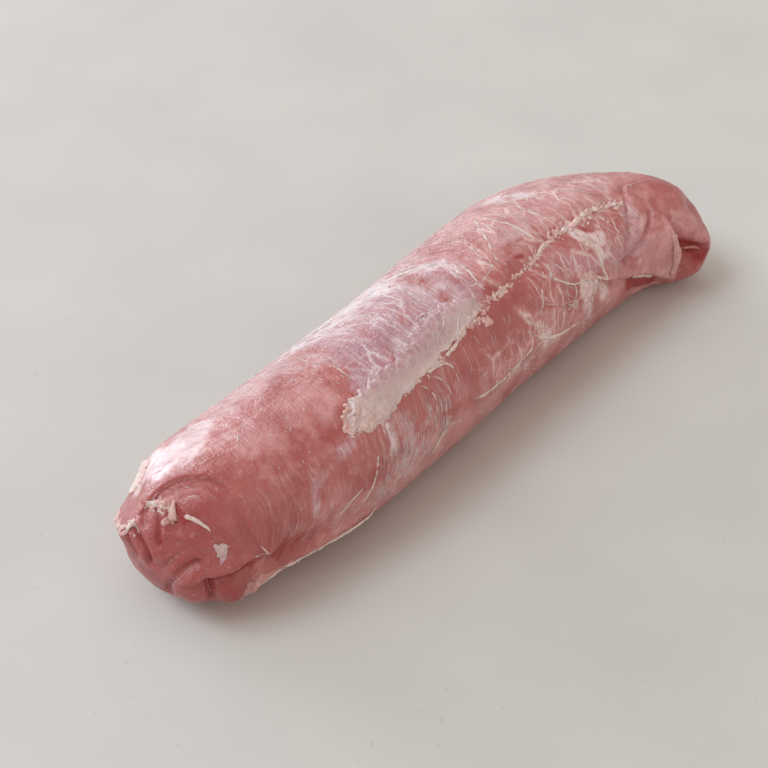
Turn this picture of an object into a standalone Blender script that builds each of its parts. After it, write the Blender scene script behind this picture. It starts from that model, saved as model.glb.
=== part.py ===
"""Raw pork tenderloin: one long muscle lying on its flat side, its thin tail tucked under at the far end.

Metres, +Z up. The length runs along X with the blunt near end at -X, the shown side is -Y, and the origin
is on the table under the middle. A place on the surface is given as two numbers: the distance in metres
over the surface from the middle of the near end, as a tape laid along the top measures it, and the angle
round the muscle in degrees, 0 at the top, positive towards -Y.
"""
import bmesh
import bpy
import numpy as np

# Driving dimensions
LENGTH = 0.250
# Distance from the near end, sideways shift of the middle, half width, height
STATIONS = np.array([
    (0.000, -0.0095, 0.0235, 0.0440),
    (0.030, -0.0095, 0.0250, 0.0465),
    (0.070, -0.0080, 0.0285, 0.0470),
    (0.115, -0.0025, 0.0290, 0.0475),
    (0.160, 0.0045, 0.0300, 0.0475),
    (0.195, 0.0075, 0.0290, 0.0455),
    (0.225, 0.0020, 0.0230, 0.0410),
    (0.250, -0.0100, 0.0215, 0.0360),
])
# How deep each rounded end is, how full its curve is, and what the tape measures over it
NEAR_CAP, NEAR_FULLNESS, NEAR_TAPE = 0.030, 2.2, 0.044
FAR_CAP, FAR_FULLNESS, FAR_TAPE = 0.020, 2.6, 0.034
TAPE = LENGTH - NEAR_CAP - FAR_CAP + NEAR_TAPE + FAR_TAPE
# The soft underside sinks this far into the flat face that it rests on
SINK = 0.002
# The widest part is at this share of the height, and the section is fuller below it
WIDEST = 0.47
TOP_FULLNESS, SIDE_FULLNESS = 2.15, 2.6
# Slow swell of the muscle between its ends
SWELL, SWELL_LENGTH = 0.0004, 0.052

# The mesh: columns round the muscle, and rows closer together where the ends are folded
COLUMNS = 68
END_ROWS, MIDDLE_ROWS = 25, 21
NEAR_ZONE, FAR_ZONE = 0.056, 0.066

# A step of the relief rises from its low side to its high side over about this distance
EDGE = 0.0024

MEAT_COLOUR = (0.420, 0.115, 0.105, 1.0)

# Relief. Each line: its points, the height on its left and on its right, and how wide it spreads
RELIEF = {
    "seam between the long muscle and its side strap":
        ([(0.080, 38), (0.106, 36), (0.145, 34), (0.179, 30), (0.198, 25), (0.222, 23)],
         -0.0010, -0.0010, 0.0030),
    "fat over the seam":
        ([(0.088, 35), (0.104, 34), (0.124, 31), (0.146, 30)], 0.0011, 0.0011, 0.0060),
    "fat ridge low on the front":
        ([(0.132, 80), (0.146, 85), (0.158, 83), (0.168, 80), (0.180, 92), (0.195, 84)],
         0.0009, 0.0009, 0.0028),
    "rim of the near end's cut face":
        ([(0.022, -6), (0.030, 0), (0.037, 14), (0.039, 38), (0.040, 63), (0.042, 87)],
         0.0007, -0.0007, 0.0050),
    "edge of the flap over the near end's lobes":
        ([(0.022, 86), (0.032, 85), (0.044, 90)], 0.0016, -0.0026, 0.0046),
    "near end's round lobe":
        ([(0.018, 92), (0.021, 110)], 0.0020, 0.0020, 0.0066),
    "crease round the round lobe":
        ([(0.013, 124), (0.013, 92), (0.020, 72)], -0.0010, -0.0010, 0.0030),
    "crease between the lobes":
        ([(0.026, 96), (0.027, 110), (0.028, 128)], -0.0024, -0.0024, 0.0026),
    "near end's small knob":
        ([(0.032, 106), (0.033, 118)], 0.0022, 0.0022, 0.0052),
    "fat edge along the near end's foot":
        ([(0.038, 120), (0.042, 109), (0.054, 109), (0.066, 109), (0.080, 110)],
         0.0014, 0.0014, 0.0026),
    "fold down the near end":
        ([(0.013, -14), (0.008, 0), (0.007, 20), (0.006, 55)], -0.0014, -0.0014, 0.0020),
    "fat edge at the back of the near end":
        ([(0.019, -76), (0.012, -56), (0.011, -28)], 0.0014, 0.0014, 0.0045),
    "hollow above the fat edge":
        ([(0.021, -34), (0.027, -52)], -0.0010, -0.0010, 0.0055),
    "first crease across the far end":
        ([(0.237, 8), (0.232, 24), (0.227, 46)], -0.0010, -0.0010, 0.0024),
    "second crease across the far end":
        ([(0.236, 46), (0.230, 60), (0.218, 68)], -0.0011, -0.0011, 0.0024),
    "edge of the tucked tail":
        ([(0.243, 62), (0.244, 78), (0.244, 96), (0.244, 112)], -0.0034, 0.0014, 0.0050),
    "pocket beside the tucked tail":
        ([(0.250, 84), (0.252, 100)], -0.0024, -0.0024, 0.0044),
    "roll under the tucked tail":
        ([(0.246, 120), (0.252, 116)], 0.0018, 0.0018, 0.0042),
    "shoulder of the far end":
        ([(0.262, 74), (0.263, 92)], 0.0012, 0.0012, 0.0060),
    "dip above the shoulder":
        ([(0.257, 36), (0.260, 58)], -0.0026, -0.0026, 0.0056),
    "bulge above the dip":
        ([(0.248, 0), (0.252, 20)], 0.0012, 0.0012, 0.0064),
    "loose edge at the far end's foot":
        ([(0.214, 85), (0.224, 91), (0.232, 98), (0.240, 108)], 0.0012, -0.0022, 0.0036),
    "gap at the far end's foot":
        ([(0.226, 112), (0.238, 124)], -0.0016, -0.0016, 0.0040),
}


def spline(knots, values, at):
    """Value at a place along the knots, on a natural cubic spline through them"""
    count = len(knots)
    gap = np.diff(knots)
    slope = np.diff(values) / gap
    matrix = np.eye(count)
    bend = np.zeros(count)
    for i in range(1, count - 1):
        matrix[i, i - 1:i + 2] = gap[i - 1], 2 * (gap[i - 1] + gap[i]), gap[i]
        bend[i] = 6 * (slope[i] - slope[i - 1])
    curve = np.linalg.solve(matrix, bend)
    at = np.clip(at, knots[0], knots[-1])
    i = np.clip(np.searchsorted(knots, at) - 1, 0, count - 2)
    a, b = (knots[i + 1] - at) / gap[i], (at - knots[i]) / gap[i]
    arch = ((a**3 - a) * curve[i] + (b**3 - b) * curve[i + 1]) * gap[i]**2 / 6
    return a * values[i] + b * values[i + 1] + arch


def section_scale(tape):
    """Distance along X from the near end, and the share of the full section there"""
    near = np.clip(tape / NEAR_TAPE, 0, 1) * np.pi / 2
    far = np.clip((TAPE - tape) / FAR_TAPE, 0, 1) * np.pi / 2
    straight = np.clip(tape - NEAR_TAPE, 0, TAPE - NEAR_TAPE - FAR_TAPE)
    along = (NEAR_CAP * (1 - np.cos(near)**(2 / NEAR_FULLNESS)) + straight
             + FAR_CAP * np.cos(far)**(2 / FAR_FULLNESS))
    return along, np.sin(near)**(2 / NEAR_FULLNESS) * np.sin(far)**(2 / FAR_FULLNESS)


def surface(tape, angle):
    """Points of the smooth muscle at tape distances and angles in radians"""
    along, scale = section_scale(np.asarray(tape, float))
    shift, half, height = (spline(STATIONS[:, 0], STATIONS[:, k], along) for k in (1, 2, 3))
    full_height = height + SINK
    side, up = np.sin(angle), np.cos(angle)
    fullness = np.where(up > 0, TOP_FULLNESS, SIDE_FULLNESS)
    reach = scale * (np.abs(side)**fullness + np.abs(up)**fullness)**(-1 / fullness)
    share = np.where(up > 0, 1 - WIDEST, WIDEST)
    z = WIDEST * full_height - SINK + full_height * share * reach * up
    points = np.broadcast_arrays(along - LENGTH / 2, shift - half * reach * side, np.maximum(z, 0))
    return np.stack(points, axis=-1)


def outward(tape, angle, step=0.0004):
    """Directions straight out of the smooth muscle"""
    along = (surface(np.minimum(tape + step, TAPE), angle) - surface(np.maximum(tape - step, 0), angle))
    turn = step / 0.02
    round_it = surface(tape, angle + turn) - surface(tape, angle - turn)
    out = np.cross(round_it, along)
    return out / np.maximum(np.linalg.norm(out, axis=-1, keepdims=True), 1e-12)


def line_over_surface(points, spacing=0.0008):
    """Closely spaced points of a smooth line over the muscle through a few named places"""
    tape, angle = np.array(points, float).T
    arm = STATIONS[:, 2].mean()
    steps = np.hypot(np.diff(tape), np.radians(np.diff(angle)) * arm)
    knots = np.append(0, np.cumsum(steps))
    at = np.linspace(0, knots[-1], int(knots[-1] / spacing) + 2)
    return surface(spline(knots, tape, at), np.radians(spline(knots, angle, at)))


def relief_height(places, out, points, left, right, width):
    """Height that one line of relief adds at each place of the surface"""
    line = line_over_surface(points)
    run = np.gradient(line, axis=0)
    run /= np.linalg.norm(run, axis=1, keepdims=True)
    gaps = np.linalg.norm(places[:, None, :] - line[None, :, :], axis=2)
    nearest = gaps.argmin(axis=1)
    distance = gaps[np.arange(len(places)), nearest]
    offset = places - line[nearest]
    aside = np.einsum("ij,ij->i", np.cross(run[nearest], offset), out)
    toward_left = 0.5 + 0.5 * np.tanh(aside / EDGE)
    height = right + (left - right) * toward_left
    return height * np.exp(-(distance / width)**2)


def relief(places, out, tape, angle):
    """Height of the whole relief over the smooth muscle"""
    height = sum(relief_height(places, out, *line) for line in RELIEF.values())
    swell = np.sin(2 * np.pi * tape / SWELL_LENGTH + 1.5 * np.sin(angle)) * np.cos(2 * angle)
    return height + SWELL * swell * section_scale(tape)[1]


def row_places():
    """Tape distances of the mesh rows between the two end points"""
    near = np.linspace(0, NEAR_ZONE, END_ROWS, endpoint=False)[1:]
    middle = np.linspace(NEAR_ZONE, TAPE - FAR_ZONE, MIDDLE_ROWS, endpoint=False)
    far = np.linspace(TAPE - FAR_ZONE, TAPE, END_ROWS + 1, endpoint=False)
    return np.concatenate([near, middle, far])


def follow_creases(mesh):
    """Split each four-sided face along its shorter diagonal, which keeps slanting folds even"""
    shaper = bmesh.new()
    shaper.from_mesh(mesh)
    bmesh.ops.triangulate(shaper, faces=shaper.faces, quad_method="SHORT_EDGE")
    shaper.to_mesh(mesh)
    shaper.free()


def tenderloin_mesh():
    """Closed skin of the muscle: rings of points between one point at each end"""
    rows = row_places()
    turns = np.linspace(-np.pi, np.pi, COLUMNS, endpoint=False)
    tape, angle = (grid.ravel() for grid in np.meshgrid(rows, turns, indexing="ij"))
    near_point, far_point = len(tape), len(tape) + 1
    tape, angle = np.append(tape, [0, TAPE]), np.append(angle, [0, 0])
    places, out = surface(tape, angle), outward(tape, angle)
    out[near_point], out[far_point] = (-1, 0, 0), (1, 0, 0)
    skin = places + out * relief(places, out, tape, angle)[:, None]
    skin[:, 2] = np.maximum(skin[:, 2], 0)
    skin[places[:, 2] <= 0, 2] = 0

    faces = []
    last = (len(rows) - 1) * COLUMNS
    for j in range(COLUMNS):
        k = (j + 1) % COLUMNS
        faces.append((near_point, k, j))
        faces.append((last + j, last + k, far_point))
        for start in range(0, last, COLUMNS):
            faces.append((start + j, start + k, start + COLUMNS + k, start + COLUMNS + j))
    mesh = bpy.data.meshes.new("tenderloin")
    mesh.from_pydata(skin.tolist(), [], faces)
    follow_creases(mesh)
    mesh.shade_smooth()
    return mesh


def meat_material():
    """Wet raw pork: pink red, never metallic, with a soft gloss"""
    material = bpy.data.materials.new("raw pork muscle")
    material.use_nodes = True
    shader = material.node_tree.nodes["Principled BSDF"]
    shader.inputs["Base Color"].default_value = MEAT_COLOUR
    shader.inputs["Roughness"].default_value = 0.38
    shader.inputs["Metallic"].default_value = 0.0
    material.diffuse_color = MEAT_COLOUR
    return material


for leftover in list(bpy.data.objects):
    bpy.data.objects.remove(leftover, do_unlink=True)

tenderloin = bpy.data.objects.new("tenderloin", tenderloin_mesh())
tenderloin.data.materials.append(meat_material())
bpy.context.scene.collection.objects.link(tenderloin)
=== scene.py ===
"""Looks of a raw pork tenderloin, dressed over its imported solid.

Metres, +Z up. A place on the meat is given as two numbers: the distance in metres over its surface from the
middle of the near end, as a tape laid along the top measures it, and the angle round it in degrees, 0 at the
top, positive towards the shown side, -Y.
"""

import bmesh
import bpy
import numpy as np
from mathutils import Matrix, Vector, noise


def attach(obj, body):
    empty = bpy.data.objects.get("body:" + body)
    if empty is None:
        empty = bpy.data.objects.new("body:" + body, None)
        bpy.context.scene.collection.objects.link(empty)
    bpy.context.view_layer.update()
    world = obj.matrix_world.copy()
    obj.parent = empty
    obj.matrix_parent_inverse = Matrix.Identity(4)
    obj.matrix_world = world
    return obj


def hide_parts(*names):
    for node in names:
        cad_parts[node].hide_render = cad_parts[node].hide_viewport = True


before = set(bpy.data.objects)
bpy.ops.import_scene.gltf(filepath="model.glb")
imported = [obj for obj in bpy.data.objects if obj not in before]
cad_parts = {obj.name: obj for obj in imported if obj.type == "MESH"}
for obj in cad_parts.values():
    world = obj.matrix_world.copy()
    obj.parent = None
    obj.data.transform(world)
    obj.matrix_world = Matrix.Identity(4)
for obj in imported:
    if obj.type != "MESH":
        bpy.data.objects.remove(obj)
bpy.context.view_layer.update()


# The muscle.
# The whole tenderloin is one long lean muscle, boned out and trimmed, with its thin tail folded under at the
# far end. It is modelled as one closed skin round the same stations as the solid, with its folds as relief.
LENGTH = 0.250
STATIONS = np.array([  # distance from the near end, sideways shift of the middle, half width, height
    (0.000, -0.0095, 0.0235, 0.0440),
    (0.030, -0.0095, 0.0250, 0.0465),
    (0.070, -0.0080, 0.0285, 0.0470),
    (0.115, -0.0025, 0.0290, 0.0475),
    (0.160, 0.0045, 0.0300, 0.0475),
    (0.195, 0.0075, 0.0290, 0.0455),
    (0.225, 0.0020, 0.0230, 0.0410),
    (0.250, -0.0100, 0.0215, 0.0360),
])
# Rounded ends: length along X, how full the rounding is (2 is an ellipse), length along the tape
NEAR_CAP, NEAR_FULLNESS, NEAR_TAPE = 0.030, 2.2, 0.044
FAR_CAP, FAR_FULLNESS, FAR_TAPE = 0.020, 2.6, 0.034
TAPE = LENGTH - NEAR_CAP - FAR_CAP + NEAR_TAPE + FAR_TAPE
SINK = 0.002  # how far the round section would reach below the table, where it is cut flat
WIDEST = 0.47  # share of the section's full height at which it is widest
UPPER_FULLNESS, LOWER_FULLNESS = 2.15, 2.6  # of the section's upper and lower part (2 is an ellipse)
ARM = STATIONS[:, 2].mean()  # mean half width, which turns angles into distances round the meat
SWELL, SWELL_LENGTH = 0.0004, 0.052  # height and length of the slow swell along the muscle
STILL_HEIGHT = 0.003  # below this height over the table the wrinkles and ridges fade out
WRINKLES = ((0.00014, 0.0050), (0.00005, 0.0017))  # height and size of the skin's fine relief
FIBRE_RIDGES = (0.00012, 0.0021, 0.016)  # height, width and length of the ridges that the fibres make
RIDGE_FADE = 0.4  # angle from the middle of the underside over which the ridges rise from nothing

# How far along the muscle its fibres have run, in mm, where they reach each angle round it
FIBRE_TURNS = {-180: -56, -110: -50, -75: -39, -60: -33, -46: -24, -36: -15, -28: -9, -20: -4, -10: -1,
               10: 0, 55: 0, 72: -1, 86: -4, 98: -9, 112: -16, 135: -24, 180: -34}

# Folds: points of the line, height on its left and on its right, how wide it spreads, how sharp its step is
FOLDS = {
    "seam between the long muscle and its side strap":
        ([(0.080, 38), (0.106, 36), (0.145, 34), (0.166, 33), (0.180, 31), (0.196, 25), (0.222, 24)],
         -0.0010, -0.0010, 0.0030, 0.001),
    "fat over the seam":
        ([(0.088, 35), (0.104, 34), (0.124, 31), (0.146, 30)], 0.0011, 0.0011, 0.0060, 0.001),
    "fat ridge low on the front":
        ([(0.132, 80), (0.146, 85), (0.158, 83), (0.168, 80), (0.180, 92), (0.195, 84)],
         0.0009, 0.0009, 0.0028, 0.001),
    "rim of the near end's cut face":
        ([(0.020, -9), (0.027, -3), (0.032, 3), (0.036, 12), (0.039, 24), (0.040, 42), (0.040, 63),
          (0.042, 84)], 0.0008, -0.0008, 0.0040, 0.0005),
    "first arc beside the rim":
        ([(0.027, 5), (0.032, 11), (0.035, 16), (0.037, 26)], -0.0004, -0.0004, 0.0008, 0.001),
    "second arc beside the rim":
        ([(0.029, 16), (0.032, 21), (0.034, 26), (0.035, 36)], -0.0003, -0.0003, 0.0008, 0.001),
    "edge of the flap over the near end's lobes":
        ([(0.022, 88), (0.028, 87), (0.034, 86), (0.040, 84), (0.044, 88)], 0.0016, -0.0026, 0.0042, 0.0004),
    "near end's round lobe":
        ([(0.018, 94), (0.021, 110)], 0.0026, 0.0026, 0.0054, 0.001),
    "crease round the round lobe":
        ([(0.013, 128), (0.013, 107), (0.015, 88), (0.019, 74), (0.023, 70)],
         -0.0016, -0.0016, 0.0013, 0.001),
    "crease between the lobes":
        ([(0.025, 88), (0.0255, 100), (0.027, 122)], -0.0020, -0.0020, 0.0012, 0.001),
    "near end's small knob":
        ([(0.031, 102), (0.033, 116)], 0.0028, 0.0028, 0.0044, 0.001),
    "crease past the small knob":
        ([(0.037, 98), (0.037, 120)], -0.0012, -0.0012, 0.0014, 0.001),
    "fat edge along the near end's foot":
        ([(0.038, 120), (0.042, 109), (0.054, 109), (0.066, 109), (0.080, 110)],
         0.0014, 0.0014, 0.0022, 0.001),
    "hollow above the foot's fat edge":
        ([(0.044, 92), (0.052, 96), (0.062, 98)], -0.0009, -0.0009, 0.0036, 0.001),
    "fold down the near end":
        ([(0.012, -10), (0.010, 8), (0.009, 27), (0.007, 52)], -0.0019, -0.0019, 0.0010, 0.001),
    "ridge beside that fold":
        ([(0.015, -8), (0.013, 12), (0.012, 30), (0.011, 52)], 0.0011, 0.0011, 0.0020, 0.001),
    "soft lobe left of that fold":
        ([(0.009, -50), (0.007, -10), (0.006, 30)], 0.0010, 0.0010, 0.0034, 0.001),
    "second fold down the near end":
        ([(0.021, 4), (0.018, 18), (0.015, 28), (0.014, 36)], -0.0011, -0.0011, 0.0009, 0.001),
    "ridge beside the second fold":
        ([(0.0235, 8), (0.0205, 21), (0.0175, 32)], 0.0008, 0.0008, 0.0011, 0.001),
    "soft fold left of the first fold":
        ([(0.013, -34), (0.008, -22), (0.004, 10)], -0.0009, -0.0009, 0.0009, 0.001),
    "small fold under the white lumps":
        ([(0.0195, -14), (0.0165, -4), (0.0150, 4)], -0.0008, -0.0008, 0.0008, 0.001),
    "shallow fold beside the white strip":
        ([(0.020, 44), (0.023, 56), (0.026, 64)], -0.0005, -0.0005, 0.0010, 0.001),
    "third fold, low on the near end":
        ([(0.006, 60), (0.012, 68), (0.016, 60), (0.018, 57)], -0.0007, -0.0007, 0.0009, 0.001),
    "dent under the fat peak":
        ([(0.024, 24), (0.022, 34)], -0.0009, -0.0009, 0.0018, 0.001),
    "dent under the white strip":
        ([(0.025, 40), (0.027, 52)], -0.0005, -0.0005, 0.0022, 0.001),
    "fat edge at the back of the near end":
        ([(0.019, -76), (0.012, -56), (0.011, -28)], 0.0014, 0.0014, 0.0042, 0.001),
    "hollow above the fat edge":
        ([(0.021, -34), (0.027, -52)], -0.0010, -0.0010, 0.0055, 0.001),
    "crease behind the glossy shoulder":
        ([(0.030, -16), (0.038, -14), (0.048, -6), (0.060, -3)], -0.0002, -0.0002, 0.0014, 0.001),
    "first crease across the far end":
        ([(0.236, 8), (0.232, 22), (0.228, 38), (0.223, 54)], -0.0010, -0.0010, 0.0012, 0.001),
    "second crease across the far end":
        ([(0.237, 42), (0.232, 57), (0.227, 64), (0.218, 70)], -0.0016, -0.0016, 0.0012, 0.001),
    "edge of the tucked tail":
        ([(0.243, 62), (0.244, 78), (0.244, 96), (0.244, 112)], -0.0036, 0.0014, 0.0048, 0.0004),
    "pocket beside the tucked tail":
        ([(0.250, 84), (0.252, 100)], -0.0024, -0.0024, 0.0040, 0.001),
    "upper layer in the pocket":
        ([(0.245, 80), (0.249, 83), (0.258, 89)], -0.0014, -0.0014, 0.0009, 0.001),
    "lower layer in the pocket":
        ([(0.245, 89), (0.250, 91), (0.259, 95)], -0.0014, -0.0014, 0.0009, 0.001),
    "roll under the tucked tail":
        ([(0.246, 120), (0.252, 116)], 0.0018, 0.0018, 0.0042, 0.001),
    "shoulder of the far end":
        ([(0.262, 74), (0.263, 92)], 0.0012, 0.0012, 0.0060, 0.001),
    "dip above the shoulder":
        ([(0.257, 36), (0.260, 58)], -0.0026, -0.0026, 0.0056, 0.001),
    "bulge above the dip":
        ([(0.248, 0), (0.252, 20)], 0.0012, 0.0012, 0.0064, 0.001),
    "loose edge at the far end's foot":
        ([(0.206, 76), (0.214, 83), (0.224, 91), (0.232, 100), (0.238, 110)],
         0.0012, -0.0024, 0.0034, 0.0004),
    "gap at the far end's foot":
        ([(0.226, 112), (0.238, 124)], -0.0016, -0.0016, 0.0040, 0.001),
}

# Colour zones: for each, lines with their reach, how soft their edge is, and how strong they are
ZONES = {
    "silver": [
        ([(0.100, -36), (0.104, -14), (0.106, 10)], 0.008, 0.008, 0.9),
        ([(0.112, -36), (0.117, -10), (0.118, 14)], 0.009, 0.006, 1.0),
        ([(0.128, -32), (0.132, -10), (0.134, 10)], 0.009, 0.008, 1.0),
        ([(0.142, -24), (0.148, 0), (0.146, 18)], 0.006, 0.008, 0.8),
        ([(0.096, 20), (0.118, 18), (0.142, 22)], 0.004, 0.005, 0.9),
        ([(0.080, -60), (0.110, -66), (0.150, -56)], 0.012, 0.012, 0.5),
        ([(0.083, 46), (0.078, 49), (0.070, 56), (0.063, 62), (0.061, 80)], 0.0012, 0.002, 0.6),
        ([(0.186, 40), (0.196, 50), (0.204, 62)], 0.004, 0.006, 0.4),
        ([(0.212, 58), (0.224, 66)], 0.004, 0.006, 0.6),
        ([(0.228, 36), (0.224, 52)], 0.0026, 0.004, 0.6),
    ],
    # Milky film; on the near top and over the far top it is also a painted highlight, pale colour where the
    # window's glare lies
    "milk_and_painted_highlight": [
        ([(0.096, -46), (0.112, -46), (0.126, -42)], 0.006, 0.008, 0.8),
        ([(0.136, -33), (0.144, -24), (0.150, -13)], 0.0022, 0.003, 0.7),
        ([(0.056, -24), (0.068, -28), (0.082, -32)], 0.0050, 0.010, 0.3),
        ([(0.136, -16), (0.141, 4)], 0.0050, 0.008, 0.35),
        ([(0.168, -30), (0.198, -24), (0.228, -10)], 0.0080, 0.014, 0.15),
        ([(0.178, 8), (0.184, 10), (0.190, 9)], 0.0030, 0.006, 0.4),
        ([(0.098, -50), (0.112, -46), (0.130, -40)], 0.0075, 0.006, 0.9),
        ([(0.094, 53), (0.095, 61), (0.093, 70)], 0.0014, 0.0015, 0.9),
        ([(0.192, -33), (0.198, -27), (0.203, -16)], 0.0016, 0.002, 1.0),
        ([(0.100, 56), (0.101, 74), (0.096, 92)], 0.0030, 0.005, 0.4),
        ([(0.116, 20), (0.126, 22), (0.138, 24), (0.142, 30)], 0.0030, 0.003, 0.6),
    ],
    "fat": [
        ([(0.201, 31), (0.205, 42), (0.207, 52)], 0.0018, 0.002, 1.0),
        ([(0.205, 43), (0.210, 44)], 0.0026, 0.002, 1.0),
        ([(0.196, 62), (0.201, 70)], 0.0020, 0.002, 0.9),
        ([(0.194, 64), (0.202, 73), (0.207, 84)], 0.0030, 0.005, 0.9),
        ([(0.188, 74), (0.194, 82), (0.196, 92)], 0.0022, 0.005, 0.7),
        ([(0.150, 86), (0.158, 92), (0.170, 94)], 0.0018, 0.005, 0.6),
        ([(0.165, 60), (0.167, 66), (0.171, 80)], 0.0018, 0.003, 0.8),
        ([(0.036, 126), (0.038, 116), (0.041, 108)], 0.0016, 0.003, 0.4),
        ([(0.160, 33), (0.180, 31), (0.196, 24), (0.212, 24), (0.229, 27)], 0.0007, 0.0016, 0.8),
        ([(0.241, 66), (0.242, 84), (0.241, 100)], 0.0030, 0.003, 0.25),
        ([(0.024, -40), (0.030, -42), (0.034, -36)], 0.0030, 0.004, 0.7),
    ],
    # Blood-dark red: the torn meat's own deeper red in the pocket and the gap at the far foot, deepened there
    # by painted shade, and painted shade along the folds, creases and hollows of both ends and under the edge
    # of the flap
    "blood_and_crease_shade": [
        ([(0.246, 82), (0.252, 90), (0.254, 99)], 0.0042, 0.003, 1.0),
        ([(0.221, 99), (0.229, 110), (0.236, 120)], 0.0024, 0.0015, 1.0),
        ([(0.012, -10), (0.010, 8), (0.009, 27), (0.007, 52)], 0.0006, 0.0014, 0.7),
        ([(0.021, 4), (0.018, 18), (0.015, 28), (0.014, 36)], 0.0004, 0.0010, 0.6),
        ([(0.025, 22), (0.025, 32)], 0.0010, 0.0012, 0.7),
        ([(0.013, -34), (0.008, -22), (0.004, 10)], 0.0003, 0.0012, 0.4),
        ([(0.024, 92), (0.034, 91), (0.042, 94)], 0.0008, 0.0010, 1.0),
        ([(0.025, 92), (0.0255, 104), (0.027, 122)], 0.0005, 0.0010, 0.9),
        ([(0.030, 104), (0.033, 112)], 0.0024, 0.0030, 0.55),
        ([(0.046, 92), (0.053, 96), (0.060, 99)], 0.0030, 0.0044, 0.6),
        ([(0.237, 44), (0.231, 58), (0.218, 70)], 0.0003, 0.0009, 0.65),
        ([(0.236, 10), (0.230, 29), (0.224, 50)], 0.0003, 0.0009, 0.5),
        ([(0.174, 22), (0.177, 24)], 0.0008, 0.0010, 0.9),
        ([(0.206, 31), (0.207, 34)], 0.0008, 0.0010, 0.7),
    ],
    "veined": [
        ([(0.158, -34), (0.185, -26), (0.215, -16)], 0.016, 0.012, 0.9),
        ([(0.160, 2), (0.185, 4), (0.222, 6)], 0.012, 0.008, 1.0),
        ([(0.184, 50), (0.202, 58), (0.222, 52)], 0.010, 0.008, 0.9),
        ([(0.150, 72), (0.180, 78), (0.206, 78)], 0.006, 0.006, 1.0),
        ([(0.236, 30), (0.250, 34)], 0.010, 0.010, 0.35),
        ([(0.060, -90), (0.140, -110), (0.220, -90)], 0.030, 0.020, 0.35),
        ([(0.060, 150), (0.140, 160), (0.220, 150)], 0.030, 0.020, 0.3),
    ],
    "fibrous": [
        ([(0.090, 60), (0.104, 76), (0.112, 96)], 0.012, 0.012, 1.0),
        ([(0.066, 74), (0.078, 92)], 0.010, 0.012, 0.9),
        ([(0.124, 60), (0.140, 62)], 0.008, 0.010, 0.6),
        ([(0.172, 52), (0.184, 62)], 0.006, 0.008, 0.3),
        ([(0.050, 56), (0.056, 84)], 0.008, 0.010, 0.5),
    ],
    # Pale haze of thin tissue. Over the far top and the near top it is also painted light, the window's broad
    # sheen put in as pale colour, and on the tucked tail it paints light onto a face that lies in shade
    "hazy_tissue_and_painted_light": [
        ([(0.155, -30), (0.190, -24), (0.232, -10)], 0.018, 0.014, 0.8),
        ([(0.160, 6), (0.190, 6), (0.226, 10)], 0.008, 0.010, 1.2),
        ([(0.070, 106), (0.110, 98), (0.150, 92), (0.190, 86), (0.214, 80)], 0.010, 0.012, 0.7),
        ([(0.246, 58), (0.252, 72), (0.258, 84)], 0.006, 0.006, 0.8),
        ([(0.230, 62), (0.237, 82), (0.232, 100)], 0.010, 0.009, 1.2),
        ([(0.214, 84), (0.224, 94), (0.232, 104)], 0.004, 0.004, 0.8),
        ([(0.190, 52), (0.214, 56), (0.228, 70)], 0.010, 0.010, 0.4),
        ([(0.246, 20), (0.254, 40)], 0.008, 0.010, 0.3),
        ([(0.044, -30), (0.070, -40), (0.090, -40)], 0.012, 0.012, 0.6),
        ([(0.058, 14), (0.068, 10), (0.078, 8)], 0.008, 0.012, 1.0),
    ],
    # Smooth glossy film, with a painted highlight: its pale colour stands in for the window's reflection on
    # the near shoulder, the middle top and the far top
    "slick_film_and_painted_highlight": [
        ([(0.032, -26), (0.038, -20), (0.045, -24)], 0.0060, 0.003, 0.75),
        ([(0.100, -48), (0.116, -44), (0.134, -38)], 0.0080, 0.005, 0.3),
        ([(0.192, -32), (0.198, -26), (0.203, -16)], 0.0030, 0.003, 1.0),
    ],
    "mauve": [
        ([(0.098, 4), (0.108, 4), (0.118, 8)], 0.0070, 0.006, 1.0),
        ([(0.094, 16), (0.112, 18), (0.128, 12)], 0.0030, 0.004, 0.8),
        ([(0.126, -6), (0.136, 4)], 0.0040, 0.006, 0.5),
    ],
    "deep": [
        ([(0.006, 20), (0.020, 40), (0.030, 58)], 0.011, 0.010, 1.0),
        ([(0.012, 100), (0.030, 104)], 0.009, 0.008, 0.9),
        ([(0.044, 60), (0.052, 88)], 0.006, 0.010, 0.7),
        ([(0.106, 52), (0.140, 54), (0.158, 50)], 0.006, 0.008, 0.6),
        ([(0.156, 46), (0.176, 44)], 0.005, 0.005, 0.5),
    ],
}


def spline(knots, values, at):
    """Value at a place along the knots, on a natural cubic spline through them"""
    count = len(knots)
    gap = np.diff(knots)
    slope = np.diff(values) / gap
    matrix = np.eye(count)
    bend = np.zeros(count)
    for i in range(1, count - 1):
        matrix[i, i - 1:i + 2] = gap[i - 1], 2 * (gap[i - 1] + gap[i]), gap[i]
        bend[i] = 6 * (slope[i] - slope[i - 1])
    curve = np.linalg.solve(matrix, bend)
    at = np.clip(at, knots[0], knots[-1])
    i = np.clip(np.searchsorted(knots, at) - 1, 0, count - 2)
    a, b = (knots[i + 1] - at) / gap[i], (at - knots[i]) / gap[i]
    arch = ((a**3 - a) * curve[i] + (b**3 - b) * curve[i + 1]) * gap[i]**2 / 6
    return a * values[i] + b * values[i + 1] + arch


def section_scale(tape):
    """Distance along X from the near end, and the share of the full section there"""
    near = np.clip(tape / NEAR_TAPE, 0, 1) * np.pi / 2
    far = np.clip((TAPE - tape) / FAR_TAPE, 0, 1) * np.pi / 2
    straight = np.clip(tape - NEAR_TAPE, 0, TAPE - NEAR_TAPE - FAR_TAPE)
    along = (NEAR_CAP * (1 - np.cos(near)**(2 / NEAR_FULLNESS)) + straight
             + FAR_CAP * np.cos(far)**(2 / FAR_FULLNESS))
    return along, np.sin(near)**(2 / NEAR_FULLNESS) * np.sin(far)**(2 / FAR_FULLNESS)


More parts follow.
